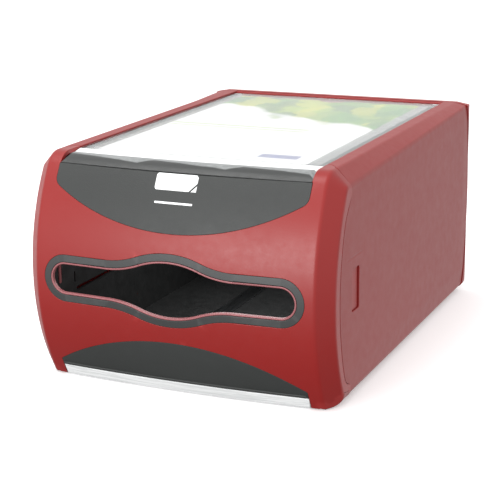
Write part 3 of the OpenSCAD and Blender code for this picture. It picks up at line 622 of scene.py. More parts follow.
def card_material():
    """Printed card: white, with soft green leaves at the back, pale rules and a small blue block."""
    m, k = new_material("printed_card")
    at = k.coords()
    x, y = k.xyz(at)["X"], k.xyz(at)["Y"]
    fibre = k.noise(at, 900.0, 4.0, 0.6)
    paper = k.ramp(fibre, [(0.3, srgb(250, 251, 251)), (0.7, srgb(255, 255, 255))])
    soft = k.noise(at, 26.0, 2.0, 0.5)
    turn = {"Vector": at, "Rotation": (0, 0, 0.5), "Scale": (1.0, 0.55, 1.0)}
    turned_at = k.new("ShaderNodeMapping", turn).outputs["Vector"]
    drift = k.noise(at, 70.0, 4.0, 0.65, "Color")
    warp = k.new("ShaderNodeVectorMath", {0: drift, 1: (0.03, 0.03, 0.0), 2: turned_at})
    warp.operation = "MULTIPLY_ADD"
    cells = k.new("ShaderNodeTexVoronoi", {"Vector": warp.outputs["Vector"], "Scale": 58.0, "Randomness": 0.9})
    greens = [(0.2, srgb(20, 92, 44)), (0.5, srgb(104, 170, 30)), (0.8, srgb(226, 216, 40))]
    greens.append((0.36, srgb(60, 146, 44)))
    leaf = k.ramp(cells.outputs["Color"], greens)
    glow = k.ramp(soft, [(0.34, srgb(176, 204, 40)), (0.56, srgb(56, 140, 44))])
    edge = k.add(k.add(k.mul(x, 0.428), y), k.mul(k.sub(soft, 0.5), 0.075))
    ink = k.mix(k.step(edge, 0.054, 0.012), paper, k.mix(0.42, leaf, glow))
    rules = k.add(k.inside(y, -0.0012, 0.0004, 0.0008), k.inside(y, 0.0058, 0.0082, 0.0008))
    rules = k.mul(rules, k.inside(x, -0.074, 0.028, 0.002))
    ink = k.mix(k.mul(rules, 0.8), ink, srgb(176, 200, 60))
    block = k.mul(k.inside(x, 0.031, 0.057, 0.001), k.inside(y, -0.088, -0.078, 0.0012))
    k.shade({
        "Base Color": k.mix(k.mul(block, 0.85), ink, srgb(70, 82, 160)),
        "Roughness": k.spread(fibre, (0.0, 1.0), (0.5, 0.65)),
        "Normal": k.bump(fibre, 0.2, 0.00003),
    })
    return m


REDS = srgb(139, 24, 21), srgb(142, 26, 23)
RED = plastic("red_satin_plastic", *REDS, (0.36, 0.44), 1500.0, 0.00008, 0.45)
RED_SIDE = plastic("red_side_plastic", *REDS, (0.42, 0.48), 1300.0, 0.00004, 0.3)
# The bezel's red plastic painted pink: a painted highlight for the rolled slot lip and the guide tabs.
LIP_HIGHLIGHT_MAT = plastic("rolled_lip_painted_highlight", srgb(146, 84, 87), srgb(152, 92, 95), (0.34, 0.44), 1500.0, 0.00006, 0.5)
DARK = plastic("dark_grained_plastic", srgb(45, 47, 46), srgb(48, 50, 49), (0.45, 0.55), 1200.0, 0.00016, 0.6)
LOW_DARK = plastic("low_dark_plastic", srgb(47, 49, 48), srgb(50, 52, 51), (0.48, 0.6), 1200.0, 0.00016, 0.6)
RING = plastic("grey_ring_plastic", srgb(50, 51, 51), srgb(54, 55, 55), (0.42, 0.5), 1700.0, 0.00008, 0.4)
BLACK = plastic("black_moulded_plastic", srgb(30, 31, 31), srgb(36, 37, 37), (0.4, 0.55), 1400.0, 0.0001, 0.5)
RUBBER = plastic("foot_rubber", srgb(22, 22, 22), srgb(30, 30, 30), (0.7, 0.85), 900.0, 0.0002, 0.7, 0.3)
STEEL = metal("zinc_plated_steel", srgb(150, 153, 156), srgb(190, 192, 194), (0.25, 0.42), (1, 1, 1))
SPRING = metal("rolled_spring_steel", srgb(120, 124, 128), srgb(165, 168, 170), (0.22, 0.36), (1, 0.05, 1))
CLEAR = cover_material()
LENS_MAT = nose_material()
STRIP_MAT = strip_material()
CARD = card_material()
WHITE = plastic("white_badge", srgb(238, 240, 240), srgb(246, 247, 247), (0.35, 0.45), 900.0, 0.00004, 0.3)
CHANNEL = plastic("frosted_channel", srgb(84, 88, 87), srgb(128, 132, 131), (0.12, 0.3), 200.0, 0.0004, 0.8)

# ---------------------------------------------------------------- CAD nodes that stay
PAINT = {
    node: mat
    for mat, nodes in (
        (RED, "bezel"),
        (RED_SIDE, "sleeve rear_cover latch_left latch_right"),
        (BLACK, "base_pan message_deck tray tray_wall_left tray_wall_right pusher_carriage"),
        (RING, "slot_ring runner_left runner_right drum_hub_left drum_hub_right"),
        (DARK, "upper_panel pusher_plate"),
        (LOW_DARK, "lower_panel"),
        (CARD, "message_card"),
        (CLEAR, "display_cover"),
        (LENS_MAT, "nose_lens"),
        (STRIP_MAT, "base_strip"),
        (SPRING, "spring_strip_left spring_strip_right drum_coil_left drum_coil_right"),
        (SPRING, "latch_spring_left latch_spring_right"),
    )
    for node in nodes.split()
}
for name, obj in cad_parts.items():
    mat = RUBBER if name.startswith("foot_") else PAINT.get(name, STEEL)
    obj.data.materials.clear()
    obj.data.materials.append(mat)
    obj.data.shade_smooth()
    obj.data.set_sharp_from_angle(angle=math.radians(34))

# ---------------------------------------------------------------- more mesh helpers
def solve_s(u, z):
    """Where on the profile the bezel's surface at u has height z."""
    lo, hi = np.full(len(u), -95.0), np.full(len(u), 75.0)
    for _ in range(40):
        mid = (lo + hi) / 2
        low = bezel_point(u, mid)[:, 2] < z
        lo, hi = np.where(low, mid, lo), np.where(low, hi, mid)
    return (lo + hi) / 2


def solid(b, box, r=0.4):
    """A bar with rounded edges, from its two corners."""
    bm = bmesh.new()
    bmesh.ops.create_cube(bm, size=1.0)
    lo, hi = np.array(box, float)
    for v in bm.verts:
        v.co = Vector(lo + (np.array(v.co) + 0.5) * (hi - lo))
    bmesh.ops.bevel(bm, geom=list(bm.edges), offset=r, segments=3, profile=0.5, affect="EDGES")
    bm.normal_update()
    shell(b, bm)


def block(b, sx, x, y, z, r):
    """A rounded block, given for the right side and mirrored where sx is -1."""
    x0, x1 = sorted((sx * x[0], sx * x[1]))
    solid(b, [(x0, y[0], z[0]), (x1, y[1], z[1])], r)


def shell(b, bm, smooth=40):
    """Adds a bmesh, with its sharp corners split so that each side keeps its own shading."""
    bm.faces.ensure_lookup_table()
    limit = math.cos(math.radians(smooth))
    for f in bm.faces:
        ids = []
        for loop in f.loops:
            n = Vector((0, 0, 0))
            for g in loop.vert.link_faces:
                if g.normal.dot(f.normal) > limit:
                    n += g.normal * g.calc_area()
            ids.append(int(b.add([loop.vert.co[:]], [n[:]])[0]))
        b.f.append(tuple(ids))
    bm.free()


def turned(b, profile, at, n=40):
    """A ring turned about the y axis, from (radius, along) points."""
    a = np.linspace(0, 2 * math.pi, n + 1)
    c, s = np.cos(a), np.sin(a)
    p = np.array(profile, float)
    for (r0, h0), (r1, h1) in zip(p[:-1], p[1:]):
        rows = [np.stack([r * c, h + 0 * a, r * s], -1) + np.array(at) for r, h in ((r0, h0), (r1, h1))]
        d = np.array([h1 - h0, -(r1 - r0)])
        d /= max(np.hypot(*d), 1e-9)
        n_ring = np.stack([d[0] * c, d[1] + 0 * a, d[0] * s], -1)
        b.grid(np.array(rows), normals=np.array([n_ring, n_ring]))


# ---------------------------------------------------------------- bezel
UE = U_SIDE + ROUND_2
S_TOP = float(s_of_y_on_top(BEVEL_X, SEAM_TOP_Y))


def seam_top(x):
    """The seam across the top of the corner posts, as y."""
    d = np.clip((np.asarray(x, float) - POST_X) / 7.6, 0, 1)
    return SEAM_TOP_Y + (NOSE_BACK_Y - SEAM_TOP_Y) * (1 - d**2.4)


SEAM = [(-115.3, 12.5), (-118.3, 13.4), (-120.9, 15.2), (-122.9, 17.6), (-124.1, 20.0)]
SEAM += [(SEAM_CY - math.sqrt(FACE_R**2 - (z - FACE_Z) ** 2), z) for z in np.linspace(23, 111, 34)]
SEAM += [(-123.5, 114.9), (-121.4, 118.4), (-118.8, 121.7), (-115.9, 124.8)]
SEAM += [(-113.6, 127.2), (-112.3, 129.2), (-112.4, 131.2), (-112.9, 132.7)]
SEAM = np.array(SEAM)


def seam_y(z):
    """The seam down the side, as y."""
    return np.interp(z, SEAM[:, 1], SEAM[:, 0])


INSET = 1.1
u_corner = np.r_[
    np.linspace(90, 91, 3),
    np.linspace(91.2, BEVEL_X + 2, 8),
    np.linspace(95.6, U_SIDE - 1.6, 9),
    np.linspace(U_SIDE - ROUND_2, UE, 6),
]
x_corner = bezel_point(u_corner, 0 * u_corner)[:, 0]
x_round = np.minimum(x_corner, HALF_W) - HALF_W + BOTTOM_R
z_corner = BOTTOM_Z + BOTTOM_R - np.sqrt(np.maximum(BOTTOM_R**2 - x_round**2, 0))
s_corner = solve_s(u_corner, z_corner)
corner = np.stack([u_corner, s_corner], -1)

s_low, s_panel = float(BODY.s_of_z(BOTTOM_Z)), float(BODY.s_of_z(PANEL_TOP_Z))
foot = np.stack([np.linspace(POST_X, CORNER_X, 6), np.full(6, s_low)], -1)
d_corner = np.gradient(corner, axis=0)
d_corner /= np.hypot(d_corner[:, 0], d_corner[:, 1])[:, None]
grow = INSET * np.clip((u_corner - CORNER_X) / 3, 0.05, 1)[:, None]
corner_in = corner + np.stack([-d_corner[:, 1], d_corner[:, 0]], -1) * grow
corner_in[-1, 0] = UE
edge_s = np.r_[
    np.linspace(corner_in[-1, 1], BODY.s1, 46)[1:],
    np.linspace(BODY.s1, BODY.s2, 12)[1:],
    np.linspace(BODY.s2, S_TOP, 7)[1:],
]
edge = np.stack([np.full(len(edge_s), UE), edge_s], -1)
u_back = np.r_[np.linspace(UE, BEVEL_X + 2, 10)[1:-1], np.linspace(BEVEL_X + 2, 92, 4)]
back_edge = np.stack([u_back, np.full(len(u_back), S_TOP)], -1)
x_in = np.linspace(91.6, POST_X, 14)
curve = np.stack([x_in, s_of_y_on_top(x_in, seam_top(x_in))], -1)
s_nose = float(s_of_y_on_top(RAIL_IN, NOSE_BACK_Y))
inner_s = np.r_[np.linspace(s_nose, BODY.s2, 5), np.linspace(BODY.s2, s_panel, 12)[1:]]
inner = np.stack([np.full(len(inner_s), RAIL_IN), inner_s], -1)
half = np.vstack([foot, corner_in, edge, back_edge, curve, inner, [[84.1, s_panel]]])
half_rim = np.full(len(half), RIM)
half_rim[len(foot) : len(foot) + len(corner_in) + len(edge) - 1] = 0.0
upper_edge = on_profile(panel_outline("upper", JOINT)[:-2][::-1])
lower_edge = on_profile(panel_outline("lower", JOINT)[:-2][::-1])
outer = np.vstack([half, upper_edge, half[::-1] * [-1, 1], lower_edge])
outer_rim = np.r_[half_rim, np.full(len(upper_edge), 0.2), half_rim[::-1], np.full(len(lower_edge), 0.2)]


def slot_loop(g):
    """The slot's outline on the unrolled face, grown by g."""
    return on_profile(slot_outline(g) + [0, SLOT_Z])


bevel_cols = [90.0, 90.9, 91.3, 91.7, 92.1, 92.5, 92.9, 93.3, 93.7, 94.1]
bevel_cols += [96.5, 99, 101.5, 103.8, 104.8, 105.2, 105.7, 106.22, 106.7, 107.2]
cols = np.r_[np.linspace(-88, 88, 33), [s * v for s in (-1, 1) for v in bevel_cols]]
rows = np.r_[np.arange(-72, BODY.s1, 3.2), np.linspace(BODY.s1, BODY.s2, 13), np.linspace(BODY.s2, s_nose, 10)[1:]]
face_grid = mesh_grid(cols, rows)

b = Builder()
slab(b, [outer, slot_loop(6.14)], face_grid, bezel_point, 2.45, [outer_rim, 0.2])
slab(b, [slot_loop(7.0), slot_loop(0.9)], face_grid[:0], face_point, 0.7, 0.0, depth=1.75)
for kind in ("upper", "lower"):
    slab(b, [on_profile(panel_outline(kind, 1.2))], face_grid, face_point, 0.7, 0.0, depth=1.75)
# Flat flanks, behind the bevel's rounded edge.
strip_in = bezel_point(np.full(len(edge_s) + 1, UE), np.r_[corner_in[-1, 1], edge_s])[:, 1:]
flank = np.vstack([SEAM[::-1], [[SEAM_TOP_Y - 0.1, 11.0], [SEAM_TOP_Y - 0.1, SIDE_LOW]], strip_in])
flank_rim = np.r_[np.full(len(SEAM), RIM), np.zeros(len(strip_in) + 2)]
flank_grid = mesh_grid(np.arange(-150, -110, 4), np.arange(12, 134, 4))
for sx in (1, -1):
    on_side = lambda y, z, sx=sx: np.stack([sx * HALF_W + 0 * y, y, z], -1)
    slab(b, [flank], flank_grid, on_side, 3.0, [flank_rim], flip=sx < 0)
    # Rounded lower corner.
    phi = np.arccos(np.clip(x_round / BOTTOM_R, 0, 1))
    p = bezel_point(corner[:, 0], corner[:, 1])
    a_pt, a_n = bezel_point(corner_in[:, 0], corner_in[:, 1]), surface_normals(bezel_point, corner_in, False)
    c_x, c_z = HALF_W - BOTTOM_R + BOTTOM_R * np.cos(phi), BOTTOM_Z + BOTTOM_R - BOTTOM_R * np.sin(phi)
    c_pt = np.stack([c_x, p[:, 1] + INSET, c_z], -1)
    c_n = np.stack([np.cos(phi), 0 * phi, -np.sin(phi)], -1)
    w = np.linspace(0, 1, 7)[:, None, None]
    bend = (1 - w) ** 2 * a_pt + 2 * w * (1 - w) * p + w**2 * c_pt
    # Its section turns from the front's radius into the sleeve's smaller foot radius.
    t = np.linspace(0, 1, 8)[:, None]
    w2 = phi / (math.pi / 2)
    turn = np.clip(w2 / 0.6, 0, 1) * math.pi / 2
    run = np.clip((w2 - 0.6) / 0.4, 0, 1)
    end_x = HALF_W - FOOT_R + FOOT_R * np.cos(turn) - 6.0 * run
    end_z = SIDE_LOW - FOOT_R * np.sin(turn) - 2.5 * run
    end = np.stack([end_x, np.full(len(end_x), SEAM_TOP_Y - 0.1), end_z], -1)
    barrel = c_pt + (end - c_pt) * t[..., None]
    barrel_n = np.cross(np.gradient(barrel, axis=1), np.gradient(barrel, axis=0))
    barrel_n /= np.maximum(np.linalg.norm(barrel_n, axis=-1), 1e-9)[..., None]
    barrel_n *= np.where(np.sum(barrel_n * c_n, -1) < 0, -1.0, 1.0)[..., None]
    barrel_n[0] = c_n
    for part, n in ((bend, (1 - w) * a_n + w * c_n), (barrel, barrel_n)):
        q, n = part * [sx, 1, 1], n * [sx, 1, 1]
        b.grid(q, flip=sx < 0, normals=n)
# Underside, shelf, guide ribs and screw bosses.
xs = np.linspace(-90, 90, 41)
front = np.interp(np.abs(xs), [POST_X, POST_X + 0.1], [1, 0])
y0 = face_point(xs, np.full(41, s_low))[:, 1] + np.where(front > 0.5, 4.0, INSET)
t = np.linspace(0, 1, 6)[:, None]
under = np.stack([xs + 0 * t, y0 + (SEAM_TOP_Y - y0) * t, BOTTOM_Z + 0 * xs + 0 * t], -1)
b.grid(under, flip=False, normals=np.broadcast_to([0, 0, -1.0], under.shape))
b.grid(under + [0, 0, 3.0], flip=True, normals=np.broadcast_to([0, 0, 1.0], under.shape))
xs = np.linspace(-84.4, 84.4, 41)
y0 = face_point(xs, np.full(41, float(BODY.s_of_z(SHELF_Z))), 1.2)[:, 1]
shelf = np.stack([xs + 0 * t, y0 + (-106.0 - y0) * t, SHELF_Z + 0 * xs + 0 * t], -1)
b.grid(shelf, flip=True, normals=np.broadcast_to([0, 0, 1.0], shelf.shape))
b.grid(shelf - [0, 0, 2.2], normals=np.broadcast_to([0, 0, -1.0], shelf.shape))
b.grid(np.stack([shelf[-1], shelf[-1] - [0, 0, 2.2]]), flip=True)
for sx in (1, -1):
    for z in ((30, 55), (85, 104)):
        block(b, sx, (85.0, 87.0), (-140.5, -132.3), z, 0.3)
    for z in (28, 106):
        turned(b, [(3.6, -136), (3.6, -127.4), (3.3, -127.1), (1.6, -127.1), (1.6, -135)], (sx * 94, 0, z))
b.object("bezel_shell", RED, "drawer", ["bezel"])

# Thin rolled lip round the slot, its red painted pink as a painted highlight, and the dark guide cheeks inside its
# ends.
b = Builder()
slab(b, [slot_loop(1.3), slot_loop(0.15)], face_grid[:0], face_point, 2.2, [0.3, 0.55])
b.object("slot_lip", LIP_HIGHLIGHT_MAT, "drawer", ())
b = Builder()
for sx in (1, -1):
    block(b, sx, (84.6, 88.6), (-144.0, -132.3), (56.5, 83.5), 0.5)
    block(b, sx, (84.0, 84.7), (-133.6, -132.6), (66.0, 71.5), 0.2)
b.object("guide_cheeks", BLACK, "drawer", ())
# Red guide tabs, painted pink like the lip as a painted highlight.
b = Builder()
for sx in (1, -1):
    block(b, sx, (83.8, 84.7), (-137.0, -134.8), (61.5, 81.0), 0.2)
b.object("guide_tabs", LIP_HIGHLIGHT_MAT, "drawer", ())

# ---------------------------------------------------------------- trim on the bezel
b = Builder()
slab(b, [slot_loop(6.05), slot_loop(1.5)], face_grid[:0], face_point, 1.5, [0.3, 0.35], steps=4)
b.object("slot_surround", RING, "drawer", ["slot_ring"])

b = Builder()
slab(b, [on_profile(panel_outline("upper", -JOINT))], face_grid, face_point, 1.5, 0.18)
ts = np.linspace(float(LENS.s_of_z(137.0)), LENS.s2 + 2.0, 16)
xs = np.linspace(-83.0, 83.0, 41)
tongue = np.stack([face_point(xs, np.full(41, v), 2.35, LENS) for v in ts])
b.grid(tongue, flip=False)
b.grid(tongue + [0, 0.25, -0.25], flip=True)
b.object("upper_fascia", DARK, "drawer", ["upper_panel"])

b = Builder()
slab(b, [on_profile(panel_outline("lower", -JOINT))], face_grid, face_point, 1.5, 0.18)
ledge = band(83, 8.1, 9.9)
proud = lambda u, v: face_point(u, v) - np.array([0, 0.9, 0])
slab(b, [on_profile(ledge)], face_grid[:0], proud, 2.0, 0.6)
b.object("lower_fascia", LOW_DARK, "drawer", ["lower_panel"])

# Clear foot strip, its paleness and lighter streaks painted light.
b = Builder()
slab(b, [on_profile(band(83.9, 0.15, 7.6))], face_grid, face_point, 3.7, 0.8)
b.object("foot_strip", STRIP_MAT, "drawer", ["base_strip"])


def lens_point(x, s, inset=0.0):
    """The clear nose's surface."""
    return face_point(x, s, inset, LENS)


def lens_s(x, y):
    """Arc length where the nose's flat top reaches y."""
    return LENS.s2 + LENS.cx + LENS.run - np.hypot(x, AXIS_Y - y)


xs = np.linspace(-83.3, 83.3, 45)
nose_low = np.full(45, float(LENS.s_of_z(138.2)))
nose = np.vstack([np.stack([xs, nose_low], -1), np.stack([xs, lens_s(xs, -105.95)], -1)[::-1]])
nose_s = np.r_[np.linspace(LENS.s_of_z(138.4), LENS.s2, 14), np.arange(LENS.s2 + 2, LENS.s2 + 30, 3)]
nose_grid = mesh_grid(np.linspace(-80, 80, 33), nose_s)
b = Builder()
slab(b, [nose], nose_grid, lens_point, 2.1, 0.15)
for sx in (1, -1):
    block(b, sx, (79.9, 83.3), (-121.5, -106.1), (137.5, 140.6), 0.5)
b.object("nose_shield", LENS_MAT, "drawer", ["nose_lens"])


def badge(name, outline, z0):
    """One raised white piece of the pictogram: a sheet with a folded corner, over a thin rule."""
    b = Builder()
    o = resample(np.array(outline, float), 1.0) + [0, z0]
    slab(b, [on_profile(o)], face_grid[:0], lambda u, v: face_point(u, v, -0.25), 0.5, 0.2)
    b.object(name, WHITE, "drawer")


sheet = [(-13.0, -4.6), (8.6, -4.6), (13.6, 0.2), (13.6, 3.4), (12.4, 4.6), (-13.0, 4.6), (-14.0, 3.6), (-14.0, -3.6)]
badge("badge_sheet", sheet, 132.9)
badge("badge_fold", [(10.0, -4.6), (13.6, -4.6), (13.6, -1.2)], 132.9)
badge("badge_rule", [(-12.5, -0.6), (12.5, -0.6), (12.5, 0.6), (-12.5, 0.6)], 121.4)

# ---------------------------------------------------------------- sleeve
T_BEVEL, T_SIDE = BEVEL_X - RAIL_IN, BEVEL_X - RAIL_IN + BEVEL_L
T_LOW = T_SIDE + SIDE_RUN
T_FOOT = T_LOW + FOOT_R * math.pi / 2


def bevel_drop(y):
    """How far the top bevel falls, less and less towards the rear."""
    return EDGE_D + (1.7 - EDGE_D) * (y - SEAM_TOP_Y) / (148 - SEAM_TOP_Y)


def rear_y(z):
    """The bowed rear face."""
    return BACK_Y - REAR_R + np.sqrt(REAR_R**2 - (z - REAR_Z) ** 2)


def swell(d, reach):
    """1 at 0, easing to 0 at the reach."""
    w = np.clip(d / reach, 0, 1)
    return 1 - w * w * (3 - 2 * w)


def sleeve_raw(t, y):
    """The sleeve's right half before its edges are rounded: t runs from the rail outwards and down."""
    drop = bevel_drop(y)
    f = np.clip((t - T_BEVEL) / BEVEL_L, 0, 1)
    g = np.clip((t - T_SIDE) / SIDE_RUN, 0, 1)
    a = np.clip((t - T_LOW) / FOOT_R, 0, math.pi / 2)
    top = HEIGHT - drop
    z_side = top * (1 - g) + SIDE_LOW * g
    rear = 0.5 * swell(BACK_Y - 9 - y, 14)
    crown = 0.55 * np.maximum(swell(top - z_side, 13), swell(z_side - 8, 13)) + rear
    crown = crown + 0.22 * np.exp(-(((z_side - CREASE_Z) / 0.6) ** 2)) * (np.abs(y - CREASE_Y) < 12.4)
    x_bevel = BEVEL_X + (EDGE_W - 0.55 - rear) * f
    x = np.where(t < 0, RAIL_IN, np.where(t < T_BEVEL, RAIL_IN + t, x_bevel))
    z = np.where(t < 0, HEIGHT + t, HEIGHT - drop * f)
    x = np.where(t > T_SIDE, HALF_W - crown, x)
    z = np.where(t > T_SIDE, z_side, z)
    low = t > T_LOW
    x = np.where(low, HALF_W - crown - FOOT_R + FOOT_R * np.cos(a), x)
    z = np.where(low, SIDE_LOW - FOOT_R * np.sin(a), z)
    x = np.where(t > T_FOOT, HALF_W - crown - FOOT_R - (t - T_FOOT), x)
    return np.stack([x, y + 0 * x, z], -1)


def sleeve_point(t, y):
    """The sleeve's surface, with rounded edges."""
    t, y = np.broadcast_arrays(np.asarray(t, float), np.asarray(y, float))
    out = sleeve_raw(t, y)
    for at, rad in ((0.0, 0.6), (T_BEVEL, 1.3), (T_SIDE, 2.4)):
        w = (t - at + rad) / (2 * rad)
        inside = ((w > 0) & (w < 1))[..., None]
        w = np.clip(w, 0, 1)[..., None]
        before, corner_pt, after = (sleeve_raw(at + d + 0 * t, y) for d in (-rad, 0, rad))
        out = np.where(inside, (1 - w) ** 2 * before + 2 * w * (1 - w) * corner_pt + w**2 * after, out)
    return out


T_END = T_FOOT + 9.0
ts = np.r_[
    np.linspace(-6, -0.7, 4),
    np.linspace(-0.5, T_BEVEL + 1.5, 16),
    np.linspace(T_BEVEL + 3, T_SIDE - 3, 5),
    np.linspace(T_SIDE - 2.4, T_SIDE + 2.4, 7),
    np.linspace(T_SIDE + 3, T_LOW, 64),
    np.linspace(T_LOW + 0.6, T_FOOT, 8),
    np.linspace(T_FOOT + 2, T_END, 4),
]
sp = sleeve_point(ts, np.full(len(ts), SEAM_TOP_Y + 0.3))
low_z, low_y = SEAM[0, 1], SEAM[0, 0]
y_foot = np.interp(sp[:, 2], [FOOT_Z, 11, low_z], [SEAM_TOP_Y, SEAM_TOP_Y, low_y])
y_side = np.where(sp[:, 2] > low_z, seam_y(sp[:, 2]), y_foot)
yf = np.where(ts < T_BEVEL, seam_top(sp[:, 0]), np.where(ts < T_SIDE, SEAM_TOP_Y, y_side)) + 0.42
yr = rear_y(np.minimum(sleeve_point(ts, np.full(len(ts), 140.0))[:, 2], 143.4)) - 5.2 - 0.3
loop = np.vstack([
    np.stack([ts, yf], -1),
    resample(np.array([[T_END, yf[-1]], [T_END, yr[-1]]]), 8)[1:32],
    np.stack([ts, yr], -1)[::-1],
    np.stack([np.full(30, -6.0), np.linspace(yr[0], yf[0], 32)[1:-1]], -1),
])
win_r = 1.2
wy0, wy1, wz0, wz1 = LATCH
win_front, win_back, win_low, win_high = wy0 + win_r, wy1 - win_r, wz0 + win_r, wz1 - win_r
win_corners = [(win_back, win_high), (win_front, win_high), (win_front, win_low), (win_back, win_low)]
quarters = [0, math.pi / 2, math.pi, 1.5 * math.pi, 2 * math.pi]
win = [arc(*at, win_r, *turn, 0.3) for at, turn in zip(win_corners, zip(quarters, quarters[1:]))]
win = resample(np.vstack(win), 3.0)
win_top = HEIGHT - bevel_drop(win[:, 0])
win = np.stack([T_SIDE + SIDE_RUN * (win_top - win[:, 1]) / (win_top - SIDE_LOW), win[:, 0]], -1)
t_crease = T_SIDE + SIDE_RUN * (137 - 0.03 - CREASE_Z) / (137 - SIDE_LOW)
sleeve_grid = mesh_grid(ts[1:-1], np.r_[np.arange(-132, 118, 6.0), np.arange(118, 150, 2.5)])
fine = mesh_grid(np.arange(t_crease - 8, t_crease + 2, 0.5), np.arange(-121, -96, 3.0))
beside = (np.abs(sleeve_grid[:, 0] - t_crease + 3) > 6) | (np.abs(sleeve_grid[:, 1] - CREASE_Y) > 14)
sleeve_grid = np.vstack([sleeve_grid[beside], fine])
b = Builder()
for sx in (1, -1):
    pt = lambda t, y, sx=sx: sleeve_point(t, y) * [sx, 1, 1]
    slab(b, [loop, win], sleeve_grid, pt, 2.5, [RIM, 0.5], flip=sx < 0)
    block(b, sx, (76.0, 86.0), (-112.4, 137.5), (135.8, 138.0), 0.3)
solid(b, [(-84.0, 137.0, 135.8), (84.0, 139.1, 143.6)], 0.5)
b.object("sleeve_shell", RED_SIDE, "housing", ["sleeve"])

# Clear side channels of the hinged cover, with the small steps moulded under them.
b = Builder()
for sx in (1, -1):
    y = -104.0
    k = 0
    while y < 128:
        step = 27.0 + 6.0 * math.sin(k * 1.7)
        x = (68.8 if sx > 0 else 74.5, 83.1 - 1.4 * (k % 2))
        block(b, sx, x, (y, min(y + step - 0.9, 130)), (140.42, 140.74 - 0.05 * (k % 3)), 0.1)
        y += step
        k += 1
b.object("cover_channels", CHANNEL, "cover", ())

# ---------------------------------------------------------------- springs
BAND_X, BAND_HALF, BAND_LOW, BAND_TOP = 30, 6, 11.6, 11.9
COIL_X0, COIL_X1, COIL_Y, COIL_Z, COIL_R, WIRE_R, TURNS = 88.2, 92.5, -104, 69.5, 2.25, 0.35, 4.0
for sx, side in ((-1, "left"), (1, "right")):
    # Flat steel band of a constant-force spring.
    b = Builder()
    y = np.linspace(-127, 98, 60)
    x = np.linspace(-BAND_HALF, BAND_HALF, 7)[:, None]
    for z, f in ((BAND_TOP, False), (BAND_LOW, True)):
        b.grid(np.stack([sx * BAND_X + x + 0 * y, y + 0 * x, z + 0 * x + 0 * y], -1), flip=f)
    for e, ends in ((-BAND_HALF, (BAND_LOW, BAND_TOP)), (BAND_HALF, (BAND_TOP, BAND_LOW))):
        b.grid(np.array([[(sx * BAND_X + e, yy, z) for yy in y] for z in ends]), flip=False)
    o = b.object(f"spring_band_{side}", SPRING, "drawer", [f"spring_strip_{side}"])
    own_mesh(o)
    # Wire coil that pushes the latch back out.
    b = Builder()
    n = 220
    a = np.linspace(0, 2 * math.pi * TURNS, n)
    x = COIL_X0 + (COIL_X1 - COIL_X0) * np.linspace(0, 1, n)
    path = np.stack([x, COIL_Y + COIL_R * np.cos(a), COIL_Z + COIL_R * np.sin(a)], -1)
    along = np.gradient(path, axis=0)
    along /= np.linalg.norm(along, axis=1, keepdims=True)
    e1 = np.stack([0 * a, np.cos(a), np.sin(a)], -1)
    e2 = np.cross(along, e1)
    c = np.linspace(0, 2 * math.pi, 9)
    ring = e1[:, None] * np.cos(c)[None, :, None] + e2[:, None] * np.sin(c)[None, :, None]
    b.grid((path[:, None] + WIRE_R * ring) * [sx, 1, 1], flip=sx > 0, normals=ring * [sx, 1, 1])
    o = b.object(f"latch_coil_{side}", STEEL, "drawer", [f"latch_spring_{side}"])
    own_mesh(o)

# ---------------------------------------------------------------- camera
AZ, EL, ROLL = 23.80, 15.09, -0.69
FOCAL_PX, PICTURE_PX, SENSOR_MM = 1415.72, 500, 36.0
CAM_X, CAM_Y, CAM_Z = 0.37153, -0.87221, 0.31281
cam_data = bpy.data.cameras.new("camera")
cam = bpy.data.objects.new("camera", cam_data)
bpy.context.scene.collection.objects.link(cam)
a, e, q = math.radians(AZ), math.radians(EL), math.radians(ROLL)
back = Vector((math.sin(a) * math.cos(e), -math.cos(a) * math.cos(e), math.sin(e)))
right = (-back).cross(Vector((0, 0, 1))).normalized()
up = right.cross(-back)
r2 = math.cos(q) * right + math.sin(q) * up
u2 = -math.sin(q) * right + math.cos(q) * up
cam.matrix_world = Matrix((
    (r2.x, u2.x, back.x, CAM_X),
    (r2.y, u2.y, back.y, CAM_Y),
    (r2.z, u2.z, back.z, CAM_Z),
    (0, 0, 0, 1),
))
cam_data.sensor_width = SENSOR_MM
cam_data.lens = FOCAL_PX / PICTURE_PX * SENSOR_MM
cam_data.clip_start, cam_data.clip_end = 0.01, 20.0
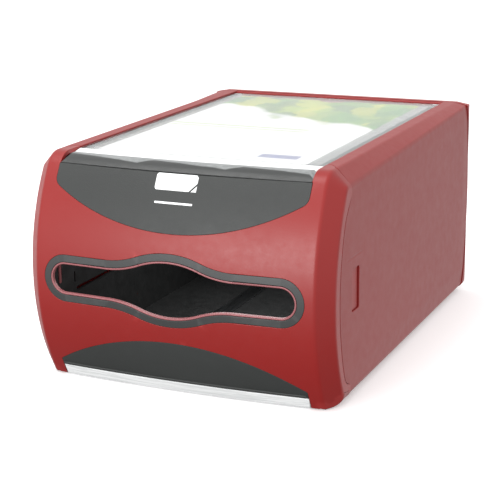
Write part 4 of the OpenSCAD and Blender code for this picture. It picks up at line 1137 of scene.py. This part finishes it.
bpy.context.scene.camera = cam

# ---------------------------------------------------------------- floor and light
floor_mesh = bpy.data.meshes.new("floor")
floor_mesh.from_pydata([(-4, -4, 0), (4, -4, 0), (4, 4, 0), (-4, 4, 0)], [], [(0, 1, 2, 3)])
floor = bpy.data.objects.new("floor", floor_mesh)
bpy.context.scene.collection.objects.link(floor)
m, k = new_material("pale_floor")
k.shade({
    "Base Color": (0.9, 0.9, 0.9, 1),
    "Roughness": 0.9,
    "Emission Color": (1, 1, 1, 1),
    "Emission Strength": 0.3,
})
floor_mesh.materials.append(m)


def area_light(name, loc, target, size, power):
    """A softbox that faces its target."""
    d = bpy.data.lights.new(name, "AREA")
    d.shape = "RECTANGLE"
    d.size, d.size_y = size
    d.energy = power
    o = bpy.data.objects.new(name, d)
    bpy.context.scene.collection.objects.link(o)
    o.location = loc
    o.rotation_mode = "QUATERNION"
    o.rotation_quaternion = (Vector(target) - Vector(loc)).to_track_quat("-Z", "Y")


area_light("key", (-0.24, -1.75, 0.38), (0.03, -0.15, 0.1), (0.95, 0.40), 15)
area_light("over", (-0.5, -0.6, 1.6), (0, 0, 0.1), (1.0, 1.0), 12)
area_light("inside", (0, -0.02, 0.115), (0, -0.06, 0.0), (0.12, 0.12), 0.13)

world = bpy.data.worlds.new("studio")
bpy.context.scene.world = world
world.use_nodes = True
k = Nodes(world.node_tree)
sky = k.xyz(k.new("ShaderNodeTexCoord", {}).outputs["Generated"])
# The backdrop stays bright further down behind the object than in front of it.
height = k.add(sky["Z"], k.mul(k.math("MAXIMUM", sky["Y"], 0.0), 0.42))
greys = [(at, (v, v, v, 1)) for at, v in ((0.0, 0.18), (0.5, 0.96), (0.25, 0.34), (0.4, 0.74))]
backdrop = k.ramp(k.spread(height, (-1.0, 1.0), (0.0, 1.0)), greys)
k.feed(world.node_tree.nodes["Background"], {"Color": backdrop, "Strength": 1.1})
floor.visible_diffuse = False
floor.visible_glossy = False
floor.visible_transmission = False
bpy.context.scene.view_settings.view_transform = "Standard"
